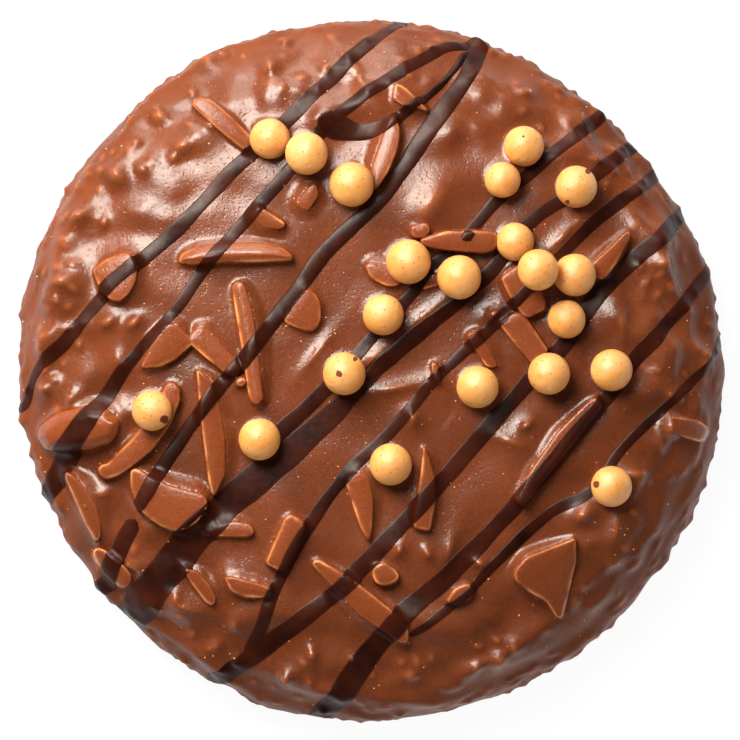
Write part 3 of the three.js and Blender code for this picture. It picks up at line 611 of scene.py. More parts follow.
    def add_pearl_collars(self, pearls):
        for middle, radius in pearls:
            part = self.window(reach_at(math.hypot(middle[0], middle[1])), COLLAR_REACH * radius)
            away = np.hypot(self.point[part, 0] - middle[0], self.point[part, 1] - middle[1])
            seat = PEARL_SEAT * radius
            collar = np.exp(-((away - seat) / COLLAR_FALL) ** 2)
            self.rise[part] += PEARL_COLLAR * np.where(away > seat, collar, 1.0)

    def rise_at(self, flat):
        """Relief at unrolled places, from the nearest points of the two rings beside each."""
        reach = np.hypot(flat[:, 0], flat[:, 1])
        turn = np.mod(np.arctan2(flat[:, 1], flat[:, 0]), 2 * math.pi) / (2 * math.pi)
        ring = np.clip(np.searchsorted(self.reach, reach) - 1, 0, len(self.reach) - 2)
        share = np.clip((reach - self.reach[ring]) / (self.reach[ring + 1] - self.reach[ring]), 0, 1)
        return (1 - share) * self.ring_rise(ring, turn) + share * self.ring_rise(ring + 1, turn)

    def ring_rise(self, ring, turn):
        count = self.count[ring]
        place = turn * count
        first = np.floor(place).astype(int)
        share = place - first
        start = self.start[ring]
        return (1 - share) * self.rise[start + first % count] + share * self.rise[start + (first + 1) % count]

    def piece(self, material):
        points = self.point + self.normal * self.rise[:, None]
        points[self.start[-2]:, 2] = 0.0
        points[:, 2] = np.maximum(points[:, 2], 0.0)
        faces = [
            ring_faces(self.start[i], self.count[i], self.start[i + 1], self.count[i + 1])
            for i in range(len(self.count) - 1)
        ]
        edge_start, edge_count = self.start[-2], self.count[-1]
        base_radius = DISTANCE[-1]
        thin_and_glow = [self.thin_and_glow]
        for share in np.linspace(1, 0, int(base_radius / BASE_STEP))[1:]:
            radius = base_radius * share
            count = max(1, int(2 * math.pi * radius / BASE_STEP))
            turn = self.turns(count)
            start = len(points)
            ring = np.column_stack([radius * np.cos(turn), radius * np.sin(turn), np.zeros(count)])
            points = np.vstack([points, ring])
            thin_and_glow.append(np.zeros(count))
            faces.append(ring_faces(start, count, edge_start, edge_count)[:, ::-1])
            edge_start, edge_count = start, count
        below = len(points) - len(self.point)
        up = np.append(self.normal[:, 2], np.zeros(below))
        attributes = {
            "thin_and_glow": np.concatenate(thin_and_glow),
            "side": 1 - np.clip(up * SIDE_FALL, 0, 1),
            "dull": np.interp(up, DULL_SLOPES, DULL_SHARES),
            "front": np.append(FOOT_FRONT * self.front, np.zeros(below)),
        }
        return mesh_piece("coating", points, np.vstack(faces).tolist(), material, attributes)


# Shards of chocolate
def shard_outline(corners):
    """Outline of a shard's face with the reach of its foot, evenly stepped, with its corners worn round."""
    corners = np.array(corners, float)
    outline = []
    for here, there in zip(corners, np.roll(corners, -1, axis=0)):
        parts = max(1, round(np.linalg.norm((there - here)[:2]) / CORNER_STEP))
        outline.extend(here + (there - here) * i / parts for i in range(parts))
    outline = np.array(outline)
    for _ in range(CORNER_CUTS):
        after = np.roll(outline, -1, axis=0)
        near = (1 - CUT_SHARE) * outline + CUT_SHARE * after
        far = CUT_SHARE * outline + (1 - CUT_SHARE) * after
        outline = np.stack([near, far], 1).reshape(-1, 3)
    loop = np.vstack([outline, outline[:1]])
    along = np.append(0, np.cumsum(np.linalg.norm(np.diff(loop[:, :2], axis=0), axis=1)))
    even = np.linspace(0, along[-1], SHARD_POINTS, endpoint=False)
    stepped = np.column_stack([np.interp(even, along, loop[:, i]) for i in range(3)])
    return stepped[:, :2], stepped[:, 2]


def outward_of(outline):
    way = np.roll(outline, -OUTWARD_STEP, axis=0) - np.roll(outline, OUTWARD_STEP, axis=0)
    out = np.column_stack([way[:, 1], -way[:, 0]])
    return out / np.linalg.norm(out, axis=1)[:, None]


def room_inside(outline, outward):
    """Radius of the largest circle inside the outline that touches it at each of its points."""
    gap = outline[None] - outline[:, None]
    inward = -(gap * outward[:, None]).sum(2)
    radius = (gap ** 2).sum(2) / (2 * np.maximum(inward, TINY))
    room = np.where(inward > SLIGHT, radius, np.inf).min(1)
    shifts = range(-ROOM_STEP, ROOM_STEP + 1)
    return sum(np.roll(room, shift) for shift in shifts) / len(shifts)


class Shard:
    """One coated shard: its worn outline, how far its foot reaches, and the level of its face."""

    def __init__(self, row, form):
        self.rise, self.dome, self.lean, corners = row
        self.outline, self.foot = shard_outline(corners)
        self.outward = outward_of(self.outline)
        self.gentle = np.clip((self.foot - STEEP_FOOT) / GENTLE_FOOT, 0, 1)
        self.middle = self.outline.mean(0)
        self.size = np.linalg.norm(self.outline - self.middle, axis=1).max()
        self.ground = form.rise_at(unrolled(self.outline)).mean()

    def level(self, plan):
        return self.ground + self.rise + (plan - self.middle) @ np.array(self.lean)

    def climb(self, plan):
        """Share of the shard's level that the coating reaches at places beside and under it."""
        offset = plan[:, None] - self.outline[None]
        nearest = np.argmin((offset ** 2).sum(2), axis=1)
        away = offset[np.arange(len(plan)), nearest]
        sign = np.where((away * self.outward[nearest]).sum(1) < 0, -1, 1)
        out = sign * np.linalg.norm(away, axis=1)
        reach = FOOT_SPREAD * np.maximum(self.foot[nearest], LEAST_FOOT)
        top = STEEP_CLIMB + (GENTLE_CLIMB - STEEP_CLIMB) * self.gentle[nearest]
        outside = np.clip(1 - out / reach, 0, 1) ** FOOT_CURVE
        inside = np.clip(1 + out / INNER_FALL, 0, 1)
        return top * np.where(out > 0, outside, inside)

    def rings(self, wobble):
        """Rings from under the coating to the face: plan, share of the rise, height added, and share of the
        lighter edge colour for a thinner coating and a painted highlight.
        """
        rings = []
        slope = WALL_SLOPE - GENTLE_SLOPE * self.gentle
        turn = np.arange(SHARD_POINTS) * 2 * math.pi / SHARD_POINTS
        # the lighter edge colour stands for a thinner coating and a painted highlight with glow, strongest
        # where the side is steep
        waves = THIN_EDGE_HIGHLIGHT_LEVEL + THIN_EDGE_HIGHLIGHT_DEPTH * np.sin(THIN_EDGE_HIGHLIGHT_WAVES * turn + THIN_EDGE_HIGHLIGHT_TURN * wobble)
        thin_edge_highlight = np.clip(THIN_EDGE_HIGHLIGHT - THIN_EDGE_HIGHLIGHT_FALL * self.foot, LEAST_THIN_EDGE_HIGHLIGHT, 1) * waves
        for out, share, edge in SHARD_WALL:
            rings.append((self.outline + self.outward * (out * slope)[:, None], share, 0.0, edge * thin_edge_highlight))
        room = FACE_ROOM * room_inside(self.outline, self.outward)
        for inset, share, edge in SHARD_FACE_RINGS:
            inward = room * (1 - np.exp(-inset / room))
            dome = self.dome * (1 - (1 - np.minimum(inward / DOME_REACH, 1)) ** 2) * DOME_REACH / 2
            rings.append((self.outline - self.outward * inward[:, None], share, dome, edge * thin_edge_highlight))
        return rings


def shards_piece(name, shards, form, material=None, swell=0.0):
    """All shards as one mesh, if asked for a little swollen."""
    draw = seeded_draws(SHARD_SEED)
    points, faces, edges = [], [], []
    for shard in shards:
        start = len(points)
        for plan, share, added, edge in shard.rings(next(draw)):
            height = shard.ground + share * (shard.level(plan) - shard.ground) + added + swell
            points.extend(raised(plan + swell * shard.outward, height).tolist())
            edges.extend(edge.tolist())
        last = len(points) - SHARD_POINTS
        for low in range(start, last, SHARD_POINTS):
            for i in range(SHARD_POINTS):
                after = (i + 1) % SHARD_POINTS
                faces.append((low + i, low + after, low + SHARD_POINTS + after, low + SHARD_POINTS + i))
        faces.append(tuple(range(last, last + SHARD_POINTS)))
        faces.append(tuple(range(start + SHARD_POINTS - 1, start - 1, -1)))
    attributes = {
        # share of the lighter edge colour: a thinner coating plus a painted highlight
        "edge": edges,
        "front": np.ones(len(points)),
        "dull": np.full(len(points), SHARD_DULL),
    }
    return mesh_piece(name, points, faces, material, attributes)


# Node trees: one wrapper for sockets and one method that makes any node
class Wire:
    """A socket that takes part in Python arithmetic."""

    def __init__(self, tree, socket):
        self.tree = tree
        self.socket = socket

    def math(self, operation, left, right):
        return self.tree.node("ShaderNodeMath", {"operation": operation}, {0: left, 1: right})[0]

    def __add__(self, other):
        return self.math("ADD", self, other)

    def __radd__(self, other):
        return self.math("ADD", other, self)

    def __sub__(self, other):
        return self.math("SUBTRACT", self, other)

    def __rsub__(self, other):
        return self.math("SUBTRACT", other, self)

    def __mul__(self, other):
        return self.math("MULTIPLY", self, other)

    def __rmul__(self, other):
        return self.math("MULTIPLY", other, self)

    def __pow__(self, other):
        return self.math("POWER", self, other)

    def at_least(self, other):
        return self.math("MAXIMUM", self, other)

    def at_most(self, other):
        return self.math("MINIMUM", self, other)

    def over(self, other):
        return self.math("GREATER_THAN", self, other)


class Made:
    """A new node, whose outputs are wires."""

    def __init__(self, tree, made):
        self.tree = tree
        self.made = made

    def __getitem__(self, key):
        return Wire(self.tree, self.made.outputs[key])


class Tree:
    """A node tree, with one method that makes any node."""

    def __init__(self, tree):
        self.tree = tree

    def node(self, kind, settings=None, inputs=None):
        made = self.tree.nodes.new(kind)
        for name, value in (settings or {}).items():
            setattr(made, name, value)
        for key, value in (inputs or {}).items():
            if isinstance(value, Wire):
                self.tree.links.new(value.socket, made.inputs[key])
            else:
                made.inputs[key].default_value = value
        return Made(self, made)

    def vector(self, operation, *operands, scale=None):
        inputs = dict(enumerate(operands))
        if scale is not None:
            inputs["Scale"] = scale
        return self.node("ShaderNodeVectorMath", {"operation": operation}, inputs)


class Paint(Tree):
    """A material's node tree, with mixes of colours and the bump and surface at its end."""

    def __init__(self, name):
        self.material = bpy.data.materials.new(name)
        self.material.use_nodes = True
        super().__init__(self.material.node_tree)
        self.tree.nodes.clear()
        self.place = self.node("ShaderNodeTexCoord")["Object"]

    def noise(self, scale, detail=3.0, roughness=0.55):
        inputs = {"Vector": self.place, "Scale": scale, "Detail": detail, "Roughness": roughness}
        return self.node("ShaderNodeTexNoise", None, inputs)["Fac"]

    def dots(self, scale):
        return self.node("ShaderNodeTexVoronoi", None, {"Vector": self.place, "Scale": scale})["Distance"]

    def band(self, value, low, high):
        settings = {"clamp": True}
        inputs = {"Value": value, "From Min": low, "From Max": high}
        return self.node("ShaderNodeMapRange", settings, inputs)["Result"]

    def mix(self, share, first, second):
        settings = {"data_type": "RGBA"}
        return self.node("ShaderNodeMix", settings, {"Factor": share, 6: first, 7: second})[2]

    def attribute(self, name):
        return self.node("ShaderNodeAttribute", {"attribute_name": name})["Fac"]

    def bump(self, height, distance, strength, below=None):
        inputs = {"Height": height, "Distance": distance, "Strength": strength}
        if below:
            inputs["Normal"] = below
        return self.node("ShaderNodeBump", None, inputs)["Normal"]

    def surface(self, **sockets):
        inputs = {name.replace("_", " "): value for name, value in sockets.items()}
        return self.node("ShaderNodeBsdfPrincipled", None, inputs)["BSDF"]

    def blend(self, share, first, second):
        return self.node("ShaderNodeMixShader", None, {0: share, 1: first, 2: second})["Shader"]

    def finish(self, shader):
        self.node("ShaderNodeOutputMaterial", None, {"Surface": shader})
        return self.material


# Finishes
MILK_DEEP = (0.05, 0.011, 0.0036, 1)
MILK_MID = (0.102, 0.0238, 0.0076, 1)
MILK_LIGHT = (0.135, 0.033, 0.0108, 1)
# Lighter orange of shard edges: a thinner coating plus a painted highlight and glow on the crests; the specks
# take it as a tone of their own too
MILK_EDGE = (0.86, 0.34, 0.12, 1)
# Lighter tips of crumbs, lumps and ridge crests: a thinner coating over them, plus a painted glow
MILK_TIP = (0.5, 0.15, 0.04, 1)
# Painted sheen: a paler colour for the steep sides, standing for grazing reflection
MILK_SIDE_SHEEN = (0.17, 0.05, 0.019, 1)
SHARD_FACE = (0.18, 0.042, 0.0122, 1)
DARK_DEEP = (0.008, 0.0012, 0.0004, 1)
DARK_FACE = (0.038, 0.0068, 0.0025, 1)
DARK_EDGE = (0.06, 0.0135, 0.0046, 1)
PEARL_PALE = (0.6, 0.292, 0.09, 1)
PEARL_WARM = (0.53, 0.205, 0.032, 1)
# Painted shade: a dark brown laid into the pits
PEARL_PIT_SHADE = (0.055, 0.01, 0.003, 1)
PEARL_SPOT = (0.1, 0.016, 0.004, 1)
SPECK_COLOUR = (0.6, 0.26, 0.11, 1)
# Shares of the colours above, roughness, and the gloss of a finish where it shines and where it is dull
MILK_GRAIN = 0.35
SIDE_SHEEN_SHARE = 0.2
MILK_TIP_SHARE = 0.3
SHARD_FACE_SHARE = 0.75
THIN_EDGE_HIGHLIGHT_SHARE = 0.85
MILK_ROUGHNESS = 0.24
GRAIN_ROUGHNESS = 0.08
SIDE_ROUGHNESS = 0.22
MILK_GLOSS = (0.46, 0.07)
DARK_EDGE_SHARE = 0.5
DARK_ROUGHNESS = 0.32
DARK_GRAIN_ROUGHNESS = 0.1
DARK_GLOSS = (0.2, 0.04)
SPOT_RAGGED = 1.2
PEARL_MOTTLE = 0.5
PIT_SHADE_SHARE = 0.5
PEARL_SHEEN = 0.6
PEARL_ROUGHNESS = 0.52
SPOT_ROUGHNESS = 0.3


def milk_chocolate():
    paint = Paint("milk_chocolate")
    cloud = paint.noise(scale=90, detail=4)
    grain = paint.noise(scale=900, detail=4, roughness=0.65)
    fine = paint.noise(scale=4200, detail=2)
    side = paint.attribute("side")
    # lighter tips where the coating is thinner, plus a painted glow
    thin_and_glow = paint.band(paint.attribute("thin_and_glow"), low=0.5, high=1.0)
    # painted highlight and glow along the shards' edges, over their thinner coating there
    edge_highlight_mask = paint.attribute("edge") * paint.band(paint.noise(scale=330, detail=3), low=0.36, high=0.6)
    pits = paint.band(paint.dots(scale=1500), low=0.0, high=0.3)
    colour = paint.mix(paint.band(cloud, low=0.35, high=0.65), MILK_MID, MILK_LIGHT)
    colour = paint.mix(paint.band(grain, low=0.5, high=0.75) * MILK_GRAIN, colour, MILK_DEEP)
    # painted sheen: the steep sides turn paler as if catching grazing reflection
    colour = paint.mix(side * SIDE_SHEEN_SHARE, colour, MILK_SIDE_SHEEN)
    colour = paint.mix(thin_and_glow * MILK_TIP_SHARE, colour, MILK_TIP)
    colour = paint.mix(paint.attribute("front") * SHARD_FACE_SHARE, colour, SHARD_FACE)
    # mixes in the painted edge highlight
    colour = paint.mix(edge_highlight_mask * THIN_EDGE_HIGHLIGHT_SHARE, colour, MILK_EDGE)
    bump = paint.bump(grain, distance=0.12 * MM, strength=0.4)
    bump = paint.bump(fine, distance=0.04 * MM, strength=0.45, below=bump)
    bump = paint.bump(pits, distance=0.08 * MM, strength=0.35, below=bump)
    grainy = paint.band(grain, low=0.4, high=0.7)
    rough = MILK_ROUGHNESS + GRAIN_ROUGHNESS * grainy + SIDE_ROUGHNESS * side
    glossy, dull = [
        paint.surface(Base_Color=colour, Roughness=rough, Normal=bump, Subsurface_Weight=0.3,
                      Subsurface_Radius=(1.0, 0.32, 0.12), Subsurface_Scale=0.8 * MM,
                      Specular_IOR_Level=level)
        for level in MILK_GLOSS
    ]
    return paint.finish(paint.blend(paint.attribute("dull"), glossy, dull))


def dark_chocolate():
    paint = Paint("dark_chocolate")
    cloud = paint.noise(scale=140, detail=3)
    grain = paint.noise(scale=1000, detail=4, roughness=0.6)
    edge = paint.band(paint.attribute("edge"), low=0.7, high=1.0)
    colour = paint.mix(paint.band(cloud, low=0.3, high=0.7), DARK_DEEP, DARK_FACE)
    colour = paint.mix(edge * DARK_EDGE_SHARE, colour, DARK_EDGE)
    bump = paint.bump(grain, distance=0.1 * MM, strength=0.3)
    rough = DARK_ROUGHNESS + DARK_GRAIN_ROUGHNESS * paint.band(grain, low=0.4, high=0.7)
    glossy, dull = [
        paint.surface(Base_Color=colour, Roughness=rough, Normal=bump, Specular_IOR_Level=level)
        for level in DARK_GLOSS
    ]
    return paint.finish(paint.blend(paint.attribute("rim"), glossy, dull))


def pearl_glaze():
    paint = Paint("pearl_glaze")
    cloud = paint.noise(scale=260, detail=4)
    ragged = paint.attribute("spot") + SPOT_RAGGED * paint.noise(scale=2600, detail=2)
    spot = paint.band(ragged, low=1.0, high=1.15)
    mottle = paint.noise(scale=1000, detail=5, roughness=0.65)
    pits = paint.band(paint.dots(scale=1300), low=0.03, high=0.19)
    colour = paint.mix(paint.band(cloud, low=0.35, high=0.68), PEARL_PALE, PEARL_WARM)
    colour = paint.mix(paint.band(mottle, low=0.46, high=0.7) * PEARL_MOTTLE, colour, PEARL_WARM)
    # painted shade in the pits
    colour = paint.mix((1 - pits) * PIT_SHADE_SHARE, colour, PEARL_PIT_SHADE)
    colour = paint.mix(spot, colour, PEARL_SPOT)
    bump = paint.bump(pits, distance=0.15 * MM, strength=0.9)
    bump = paint.bump(mottle, distance=0.18 * MM, strength=0.6, below=bump)
    sheen = PEARL_SHEEN - PEARL_SHEEN * spot
    rough = PEARL_ROUGHNESS + SPOT_ROUGHNESS * spot
    return paint.finish(paint.surface(Base_Color=colour, Roughness=rough, Normal=bump, Subsurface_Weight=0.15,
                                      Subsurface_Radius=(1.0, 0.5, 0.12), Subsurface_Scale=1.0 * MM,
                                      Specular_IOR_Level=0.5, Coat_Weight=sheen, Coat_Roughness=0.55,
                                      Coat_IOR=1.8))


def speck_finish():
    paint = Paint("speck")
    colour = paint.mix(paint.noise(scale=700, detail=2), SPECK_COLOUR, MILK_EDGE)
    return paint.finish(paint.surface(Base_Color=colour, Roughness=0.4))


# Geometry trees
class Shape(Tree):
    """A geometry node tree with named inputs, run on an object and turned into a plain mesh."""

    KINDS = {float: "NodeSocketFloat", int: "NodeSocketInt", bpy.types.Object: "NodeSocketObject",
             bpy.types.Material: "NodeSocketMaterial"}

    def __init__(self, name, **values):
        tree = bpy.data.node_groups.new(name, "GeometryNodeTree")
        super().__init__(tree)
        tree.interface.new_socket("Geometry", in_out="INPUT", socket_type="NodeSocketGeometry")
        tree.interface.new_socket("Geometry", in_out="OUTPUT", socket_type="NodeSocketGeometry")
        self.values = {}
        for label, value in values.items():
            kind = self.KINDS[type(value)]
            socket = tree.interface.new_socket(label, in_out="INPUT", socket_type=kind)
            self.values[socket.identifier] = value
        self.given = self.node("NodeGroupInput")

    def store(self, geometry, label, value, kind="FLOAT_VECTOR"):
        settings = {"data_type": kind, "domain": "POINT"}
        inputs = {"Geometry": geometry, "Name": label, "Value": value}
        return self.node("GeometryNodeStoreNamedAttribute", settings, inputs)["Geometry"]

    def stored(self, label, kind="FLOAT_VECTOR"):
        return self.node("GeometryNodeInputNamedAttribute", {"data_type": kind}, {"Name": label})["Attribute"]

    def split(self, vector):
        return self.node("ShaderNodeSeparateXYZ", None, {0: vector})

    def along(self, vector, length):
        return self.vector("SCALE", vector, scale=length)[0]

    def geometry_of(self, label):
        return self.node("GeometryNodeObjectInfo", None, {"Object": self.given[label]})["Geometry"]

    def ball(self, radius, fineness):
        inputs = {"Radius": radius, "Subdivisions": fineness}
        return self.node("GeometryNodeMeshIcoSphere", None, inputs)["Mesh"]

    def copies(self, points, instance, scale):
        inputs = {"Points": points, "Instance": instance, "Scale": scale}
        return self.node("GeometryNodeInstanceOnPoints", None, inputs)["Instances"]

    def close(self, geometry, material):
        real = self.node("GeometryNodeRealizeInstances", None, {"Geometry": geometry})["Geometry"]
        smooth = self.node("GeometryNodeSetShadeSmooth", None, {"Geometry": real})["Geometry"]
        done = self.node("GeometryNodeSetMaterial", None, {"Geometry": smooth, "Material": material})
        self.node("NodeGroupOutput", None, {"Geometry": done["Geometry"]})

    def run(self, source, name):
        """The tree's result on a source object, as a new plain mesh piece."""
        modifier = source.modifiers.new(name, "NODES")
        modifier.node_group = self.tree
        for identifier, value in self.values.items():
            modifier[identifier] = value
        graph = bpy.context.evaluated_depsgraph_get()
        mesh = bpy.data.meshes.new_from_object(source.evaluated_get(graph), depsgraph=graph)
        source.modifiers.remove(modifier)
        mesh.name = name
        piece = bpy.data.objects.new(name, mesh)
        bpy.context.scene.collection.objects.link(piece)
        return piece


def smooth_route(points, widths):
    """A smooth line through points, evenly stepped, with its half widths."""
    points = np.asarray(points, float)
    padded = np.vstack([2 * points[0] - points[1], points, 2 * points[-1] - points[-2]])
    dense = []
    for before, here, there, after in zip(padded, padded[1:], padded[2:], padded[3:]):
        bend = 2 * before - 5 * here + 4 * there - after
        twist = 3 * here - before - 3 * there + after
        for t in np.linspace(0, 1, ROUTE_CUTS, endpoint=False):
            dense.append(0.5 * (2 * here + (there - before) * t + bend * t ** 2 + twist * t ** 3))
    dense = np.array(dense + [points[-1]])
    along = np.append(0, np.cumsum(np.linalg.norm(np.diff(dense, axis=0), axis=1)))
    even = np.linspace(0, along[-1], int(along[-1] / ROUTE_STEP) + 2)
    route = np.column_stack([np.interp(even, along, dense[:, i]) for i in range(2)])
    half = np.interp(even / along[-1], np.linspace(0, 1, len(widths)), np.array(widths) / 2)
    return route, half


def unsteady(route, half, seed):
    """Makes the way and the width of a strand waver a little, as poured by hand."""
    draw = np.random.default_rng(seed)
    along = np.append(0, np.cumsum(np.linalg.norm(np.diff(route, axis=0), axis=1)))
    way = np.gradient(route, axis=0)
    across = np.column_stack([-way[:, 1], way[:, 0]]) / np.linalg.norm(way, axis=1)[:, None]
    shift, width = [
        sum(np.sin(2 * math.pi * (along / wave + draw.random())) for wave in WAVER_LENGTHS) for _ in range(2)
    ]
    return route + across * (WAVER_SHIFT * shift)[:, None], half * (1 + WAVER_WIDTH * width)


def run_over_edge(flat):
    """Lengthens the ends of a strand that reach the edge, so that they run down the side."""
    def lower_end(end):
        reach = np.linalg.norm(end)
        lower = min(reach + RUN_DOWN, FULL_REACH - BASE_CLEARANCE)
        return [end * lower / reach] if reach > reach_at(EDGE_DISTANCE) else []

    return lower_end(flat[0]) + list(flat) + lower_end(flat[-1])


def line_object(name, lines):
    """A curve object of open poly lines: each a list of points and their radii."""
    curve = bpy.data.curves.new(name, "CURVE")
    curve.dimensions = "3D"
    for points, radii in lines:
        spline = curve.splines.new("POLY")
        spline.points.add(len(points) - 1)
        for knot, point, radius in zip(spline.points, points, radii):
            knot.co = (*(np.asarray(point) * MM), 1)
            knot.radius = radius * MM
    line = bpy.data.objects.new(name, curve)
    bpy.context.scene.collection.objects.link(line)
    return line


def strand_tree(ground, outline, proud, material):
    """Draws each route as a low ribbon that lies on the ground, with round edges and tapered ends."""
    shape = Shape("strand", Ground=ground, Outline=outline, Material=material, Step=STRAND_STEP * MM,
                  Taper=STRAND_TAPER * MM, Sky=SKY_HEIGHT * MM, Proud=proud * MM, Rim=STRAND_RIM * MM,
                  Depth=STRAND_DEPTH * MM)
    given = shape.given
    even = shape.node("GeometryNodeResampleCurve", {"mode": "LENGTH"},
                      {"Curve": given["Geometry"], "Length": given["Step"]})["Curve"]
    tangent = shape.node("GeometryNodeInputTangent")["Tangent"]
    side = shape.vector("NORMALIZE", shape.vector("CROSS_PRODUCT", tangent, (0, 0, 1))[0])[0]
    place = shape.node("GeometryNodeInputPosition")["Position"]
    half = shape.node("GeometryNodeInputRadius")["Radius"]
    from_start = shape.node("GeometryNodeSplineParameter")["Length"]
    length = shape.node("GeometryNodeSplineLength")["Length"]
    taper = shape.node("ShaderNodeMapRange", {"clamp": True},
                       {"Value": from_start.at_most(length - from_start), "From Min": 0.0,
                        "From Max": given["Taper"]})["Result"]
    route = shape.store(even, "middle", place)
    route = shape.store(route, "side", side)
    route = shape.store(route, "half", half * taper ** TAPER_POWER, "FLOAT")
    ring = shape.node("GeometryNodeCurvePrimitiveCircle", None, {"Resolution": STRAND_SECTION, "Radius": 1.0})
    ribbon = shape.node("GeometryNodeCurveToMesh", None,
                        {"Curve": route, "Profile Curve": shape.store(ring["Curve"], "section", place),
                         "Fill Caps": True})["Mesh"]
    lie = shape.split(shape.stored("section"))
    across = shape.along(shape.stored("side"), lie["X"] * shape.stored("half", "FLOAT"))
    flat = shape.vector("ADD", shape.stored("middle"), across)[0]
    reach = shape.vector("LENGTH", flat)["Value"]
    heading = shape.vector("NORMALIZE", flat)[0]
    profile = shape.node("GeometryNodeSampleCurve", {"mode": "LENGTH"},
                         {"Curves": shape.geometry_of("Outline"), "Length": reach})
    spot = shape.split(profile["Position"])
    slope = shape.split(profile["Tangent"])

    def turned(out, up):
        up_part = shape.node("ShaderNodeCombineXYZ", None, {"Z": up})[0]
        return shape.vector("ADD", shape.along(heading, out), up_part)[0]

    outward = turned(0 - slope["Z"], slope["X"])
    sky = shape.vector("ADD", turned(spot["X"], spot["Z"]), shape.along(outward, given["Sky"]))[0]
    hit = shape.node("GeometryNodeRaycast", None,
                     {"Target Geometry": shape.geometry_of("Ground"), "Source Position": sky,
                      "Ray Direction": shape.along(outward, -1.0),
                      "Ray Length": 2 * given["Sky"]})["Hit Distance"]
    evened = shape.node("GeometryNodeBlurAttribute", {"data_type": "FLOAT"},
                        {"Value": hit, "Iterations": SETTLE_ROUNDS})[0]
    bulge = (1 - lie["X"] * lie["X"]).at_least(0.0) ** BULGE_POWER
    top = lie["Y"].over(LOWER_HALF)
    height = top * (bulge * given["Proud"] + given["Rim"]) - (1 - top) * given["Depth"]
    laid = shape.vector("ADD", sky, shape.along(outward, height - evened.at_most(hit)))[0]
    moved = shape.node("GeometryNodeSetPosition", None, {"Geometry": ribbon, "Position": laid})["Geometry"]
    moved = shape.store(moved, "rim", (1 - SIDE_FALL * slope["X"]).at_least(0.0), "FLOAT")
    moved = shape.store(moved, "edge", lie["X"] * lie["X"], "FLOAT")
    shape.close(moved, given["Material"])
    return shape


def strands_piece(name, rows, proud, ground, material):
    outline_points = np.column_stack([DISTANCE, np.zeros(len(DISTANCE)), HEIGHT])
    outline = line_object("outline", [(outline_points, np.ones(len(DISTANCE)))])
    routes = []
    for index, (widths, via) in enumerate(rows):
        route, half = unsteady(*smooth_route(run_over_edge(unrolled(via)), widths), WAVER_SEED + index)
        routes.append((np.column_stack([route, np.zeros(len(route))]), half))
    source = line_object("strand_routes", routes)
    piece = strand_tree(ground, outline, proud, material).run(source, name)
    for helper in (source, outline):
        bpy.data.objects.remove(helper)
    return piece


def pearl_places():
    """Middle and radius of every pearl, from its node."""
    places = []
    for name in PEARL_NODES:
        low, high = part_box(name)
        places.append((np.array((low + high) / 2) / MM, (high.z - low.z) / 2 / MM))
    return places


def pearls_piece(pearls, material):
    source = mesh_piece("pearl_middles", [middle for middle, _ in pearls], [], None,
                        {"size": [radius for _, radius in pearls]})
    shape = Shape("pearl", Material=material, Unevenness=PEARL_UNEVENNESS * MM, Fineness=PEARL_SUBDIVISIONS)
    given = shape.given
    ball = shape.ball(MM, given["Fineness"])
    spread = shape.copies(given["Geometry"], ball, shape.stored("size", "FLOAT"))
    real = shape.node("GeometryNodeRealizeInstances", None, {"Geometry": spread})["Geometry"]
    noise = shape.node("ShaderNodeTexNoise", None, {"Scale": UNEVEN_SCALE, "Detail": 2.0})["Fac"]
    normal = shape.node("GeometryNodeInputNormal")["Normal"]
    push = shape.along(normal, (noise - UNEVEN_LEVEL) * given["Unevenness"])
    uneven = shape.node("GeometryNodeSetPosition", None, {"Geometry": real, "Offset": push})["Geometry"]
    shape.close(uneven, given["Material"])
    piece = shape.run(source, "pearls")
    bpy.data.objects.remove(source)
    points = np.array([vertex.co for vertex in piece.data.vertices]) / MM
    spot = np.zeros(len(points))
    for x, y, radius in PEARL_SPOTS:
        away = np.hypot(points[:, 0] - x, points[:, 1] - y) / radius
        spot = np.maximum(spot, np.clip(SPOT_EDGE - away, 0, 1))
    piece.data.attributes.new("spot", "FLOAT", "POINT").data.foreach_set("value", spot.astype(np.float32))
    return piece


def specks_piece(coating, material):
    shape = Shape("speck", Material=material, Density=SPECK_DENSITY / MM ** 2, Size=SPECK_RADIUS * MM,
                  Seed=SPECK_SEED)
    given = shape.given
    up = shape.split(shape.node("GeometryNodeInputNormal")["Normal"])["Z"]
    spread = shape.node("GeometryNodeDistributePointsOnFaces", None,
                        {"Mesh": given["Geometry"], "Selection": up.over(SPECK_UPWARD),
                         "Density": given["Density"], "Seed": given["Seed"]})["Points"]
    scale = shape.node("FunctionNodeRandomValue", {"data_type": "FLOAT"},
                       {2: SPECK_LEAST, 3: SPECK_MOST, "Seed": given["Seed"]})[1]
    placed = shape.copies(spread, shape.ball(given["Size"], SPECK_FINENESS), scale)
    shape.close(placed, given["Material"])
    return shape.run(coating, "specks")


def joined_copy(name, pieces):
    """One mesh object of several pieces, for laying things on."""
    points, faces = [], []
    for piece in pieces:
        start = len(points)
        points.extend(vertex.co / MM for vertex in piece.data.vertices)
        faces.extend([start + i for i in face.vertices] for face in piece.data.polygons)
    return mesh_piece(name, points, faces)


# Stage
def area_light(name, place, size, watts, glossy):
    light = bpy.data.lights.new(name, "AREA")
    light.size = size
    light.energy = watts
    light.color = LIGHT_COLOUR
    lamp = bpy.data.objects.new(name, light)
    lamp.visible_glossy = glossy
    lamp.location = place
    lamp.rotation_euler = (-Vector(place)).to_track_quat("-Z", "Y").to_euler()
    bpy.context.scene.collection.objects.link(lamp)


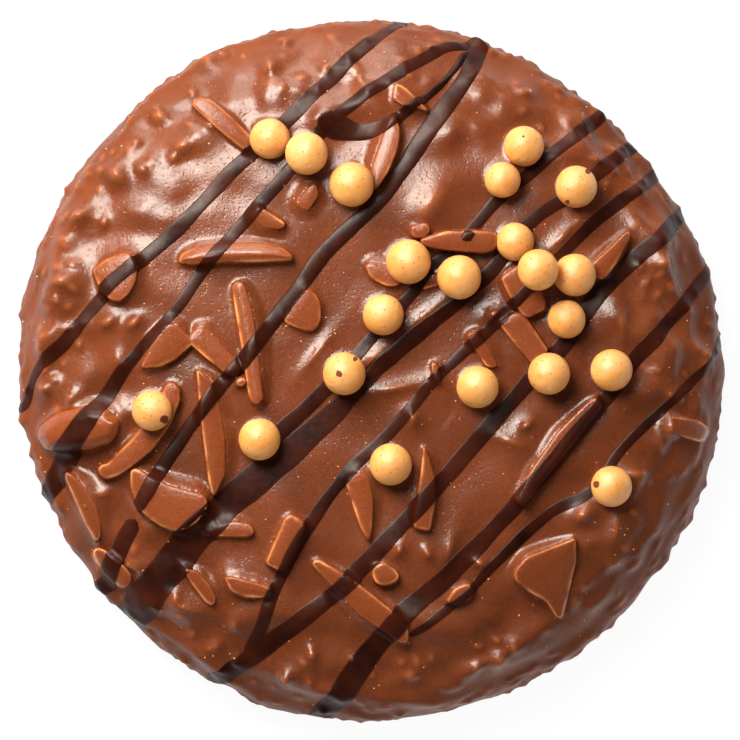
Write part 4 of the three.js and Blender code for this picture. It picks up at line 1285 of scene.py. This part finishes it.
def studio():
    scene = bpy.context.scene
    scene.view_settings.view_transform = "Standard"
    world = bpy.data.worlds.new("studio")
    world.use_nodes = True
    background = world.node_tree.nodes["Background"]
    background.inputs["Color"].default_value = (1, 1, 1, 1)
    background.inputs["Strength"].default_value = WORLD_STRENGTH
    scene.world = world
    for name, row in UPPER_LIGHTS.items():
        area_light(name, *row)
    for degrees, height, size, watts, glossy in SIDE_LIGHTS:
        turn = math.radians(degrees)
        place = (SIDE_DISTANCE * math.cos(turn), SIDE_DISTANCE * math.sin(turn), height)
        area_light("side", place, size, watts, glossy)
    bpy.ops.mesh.primitive_plane_add(size=FLOOR_SIZE)
    floor = bpy.context.object
    floor.name = "floor"
    paint = Paint("floor")
    colour = paint.mix(paint.noise(scale=3.0), FLOOR_DARK, FLOOR_LIGHT)
    shader = paint.surface(Base_Color=colour, Roughness=0.8, Emission_Color=(1, 1, 1, 1),
                           Emission_Strength=FLOOR_GLOW)
    floor.data.materials.append(paint.finish(shader))


def photo_camera():
    span = 2 * RADIUS * PHOTO_SIZE / PHOTO_SPAN
    camera = bpy.data.cameras.new("photo")
    camera.lens = CAMERA_LENS
    camera.sensor_width = SENSOR
    eye = bpy.data.objects.new("photo", camera)
    eye.location = (0, 0, (RIM_LEVEL + span * CAMERA_LENS / SENSOR) * MM)
    bpy.context.scene.collection.objects.link(eye)
    bpy.context.scene.camera = eye


def dress():
    pearls = pearl_places()
    coating_form = Coating()
    coating_form.add_swells()
    coating_form.add_lumps()
    coating_form.add_ridges(SOFT_RIDGES, SOFT_CREST)
    coating_form.add_ridges(SHARP_RIDGES, SHARP_CREST)
    for row in CRUMBS:
        coating_form.add_crumbs(*row)
    coating_form.add_folds()
    coating_form.add_ripples()
    under_strands = [Shard(row, coating_form) for row in SHARDS]
    over_strands = [Shard(row, coating_form) for row in TOP_SHARDS]
    coating_form.add_shard_feet(under_strands)
    coating_form.add_pearl_collars(pearls)
    milk = milk_chocolate()
    coating = coating_form.piece(milk)
    shards = shards_piece("shards", under_strands, coating_form, milk)
    top_shards = shards_piece("top_shards", over_strands, coating_form, milk)
    dark = dark_chocolate()
    swollen = shards_piece("swollen", under_strands, coating_form, swell=STRAND_CLEARANCE)
    ground = joined_copy("ground", [coating, swollen])
    strands = strands_piece("strands", STRANDS, FILM_PROUD, ground, dark)
    cords = strands_piece("cords", CORDS, CORD_PROUD, ground, dark)
    for helper in (swollen, ground):
        bpy.data.objects.remove(helper)
    drops = strands_piece("drops", DROPS, CORD_PROUD, top_shards, dark)
    pearl_set = pearls_piece(pearls, pearl_glaze())
    specks = specks_piece(coating, speck_finish())
    for piece in (coating, shards, top_shards, strands, cords, drops, specks):
        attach(piece, "root")
    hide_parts("biscuit")
    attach(pearl_set, "root")
    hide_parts(*PEARL_NODES)


studio()
photo_camera()
dress()
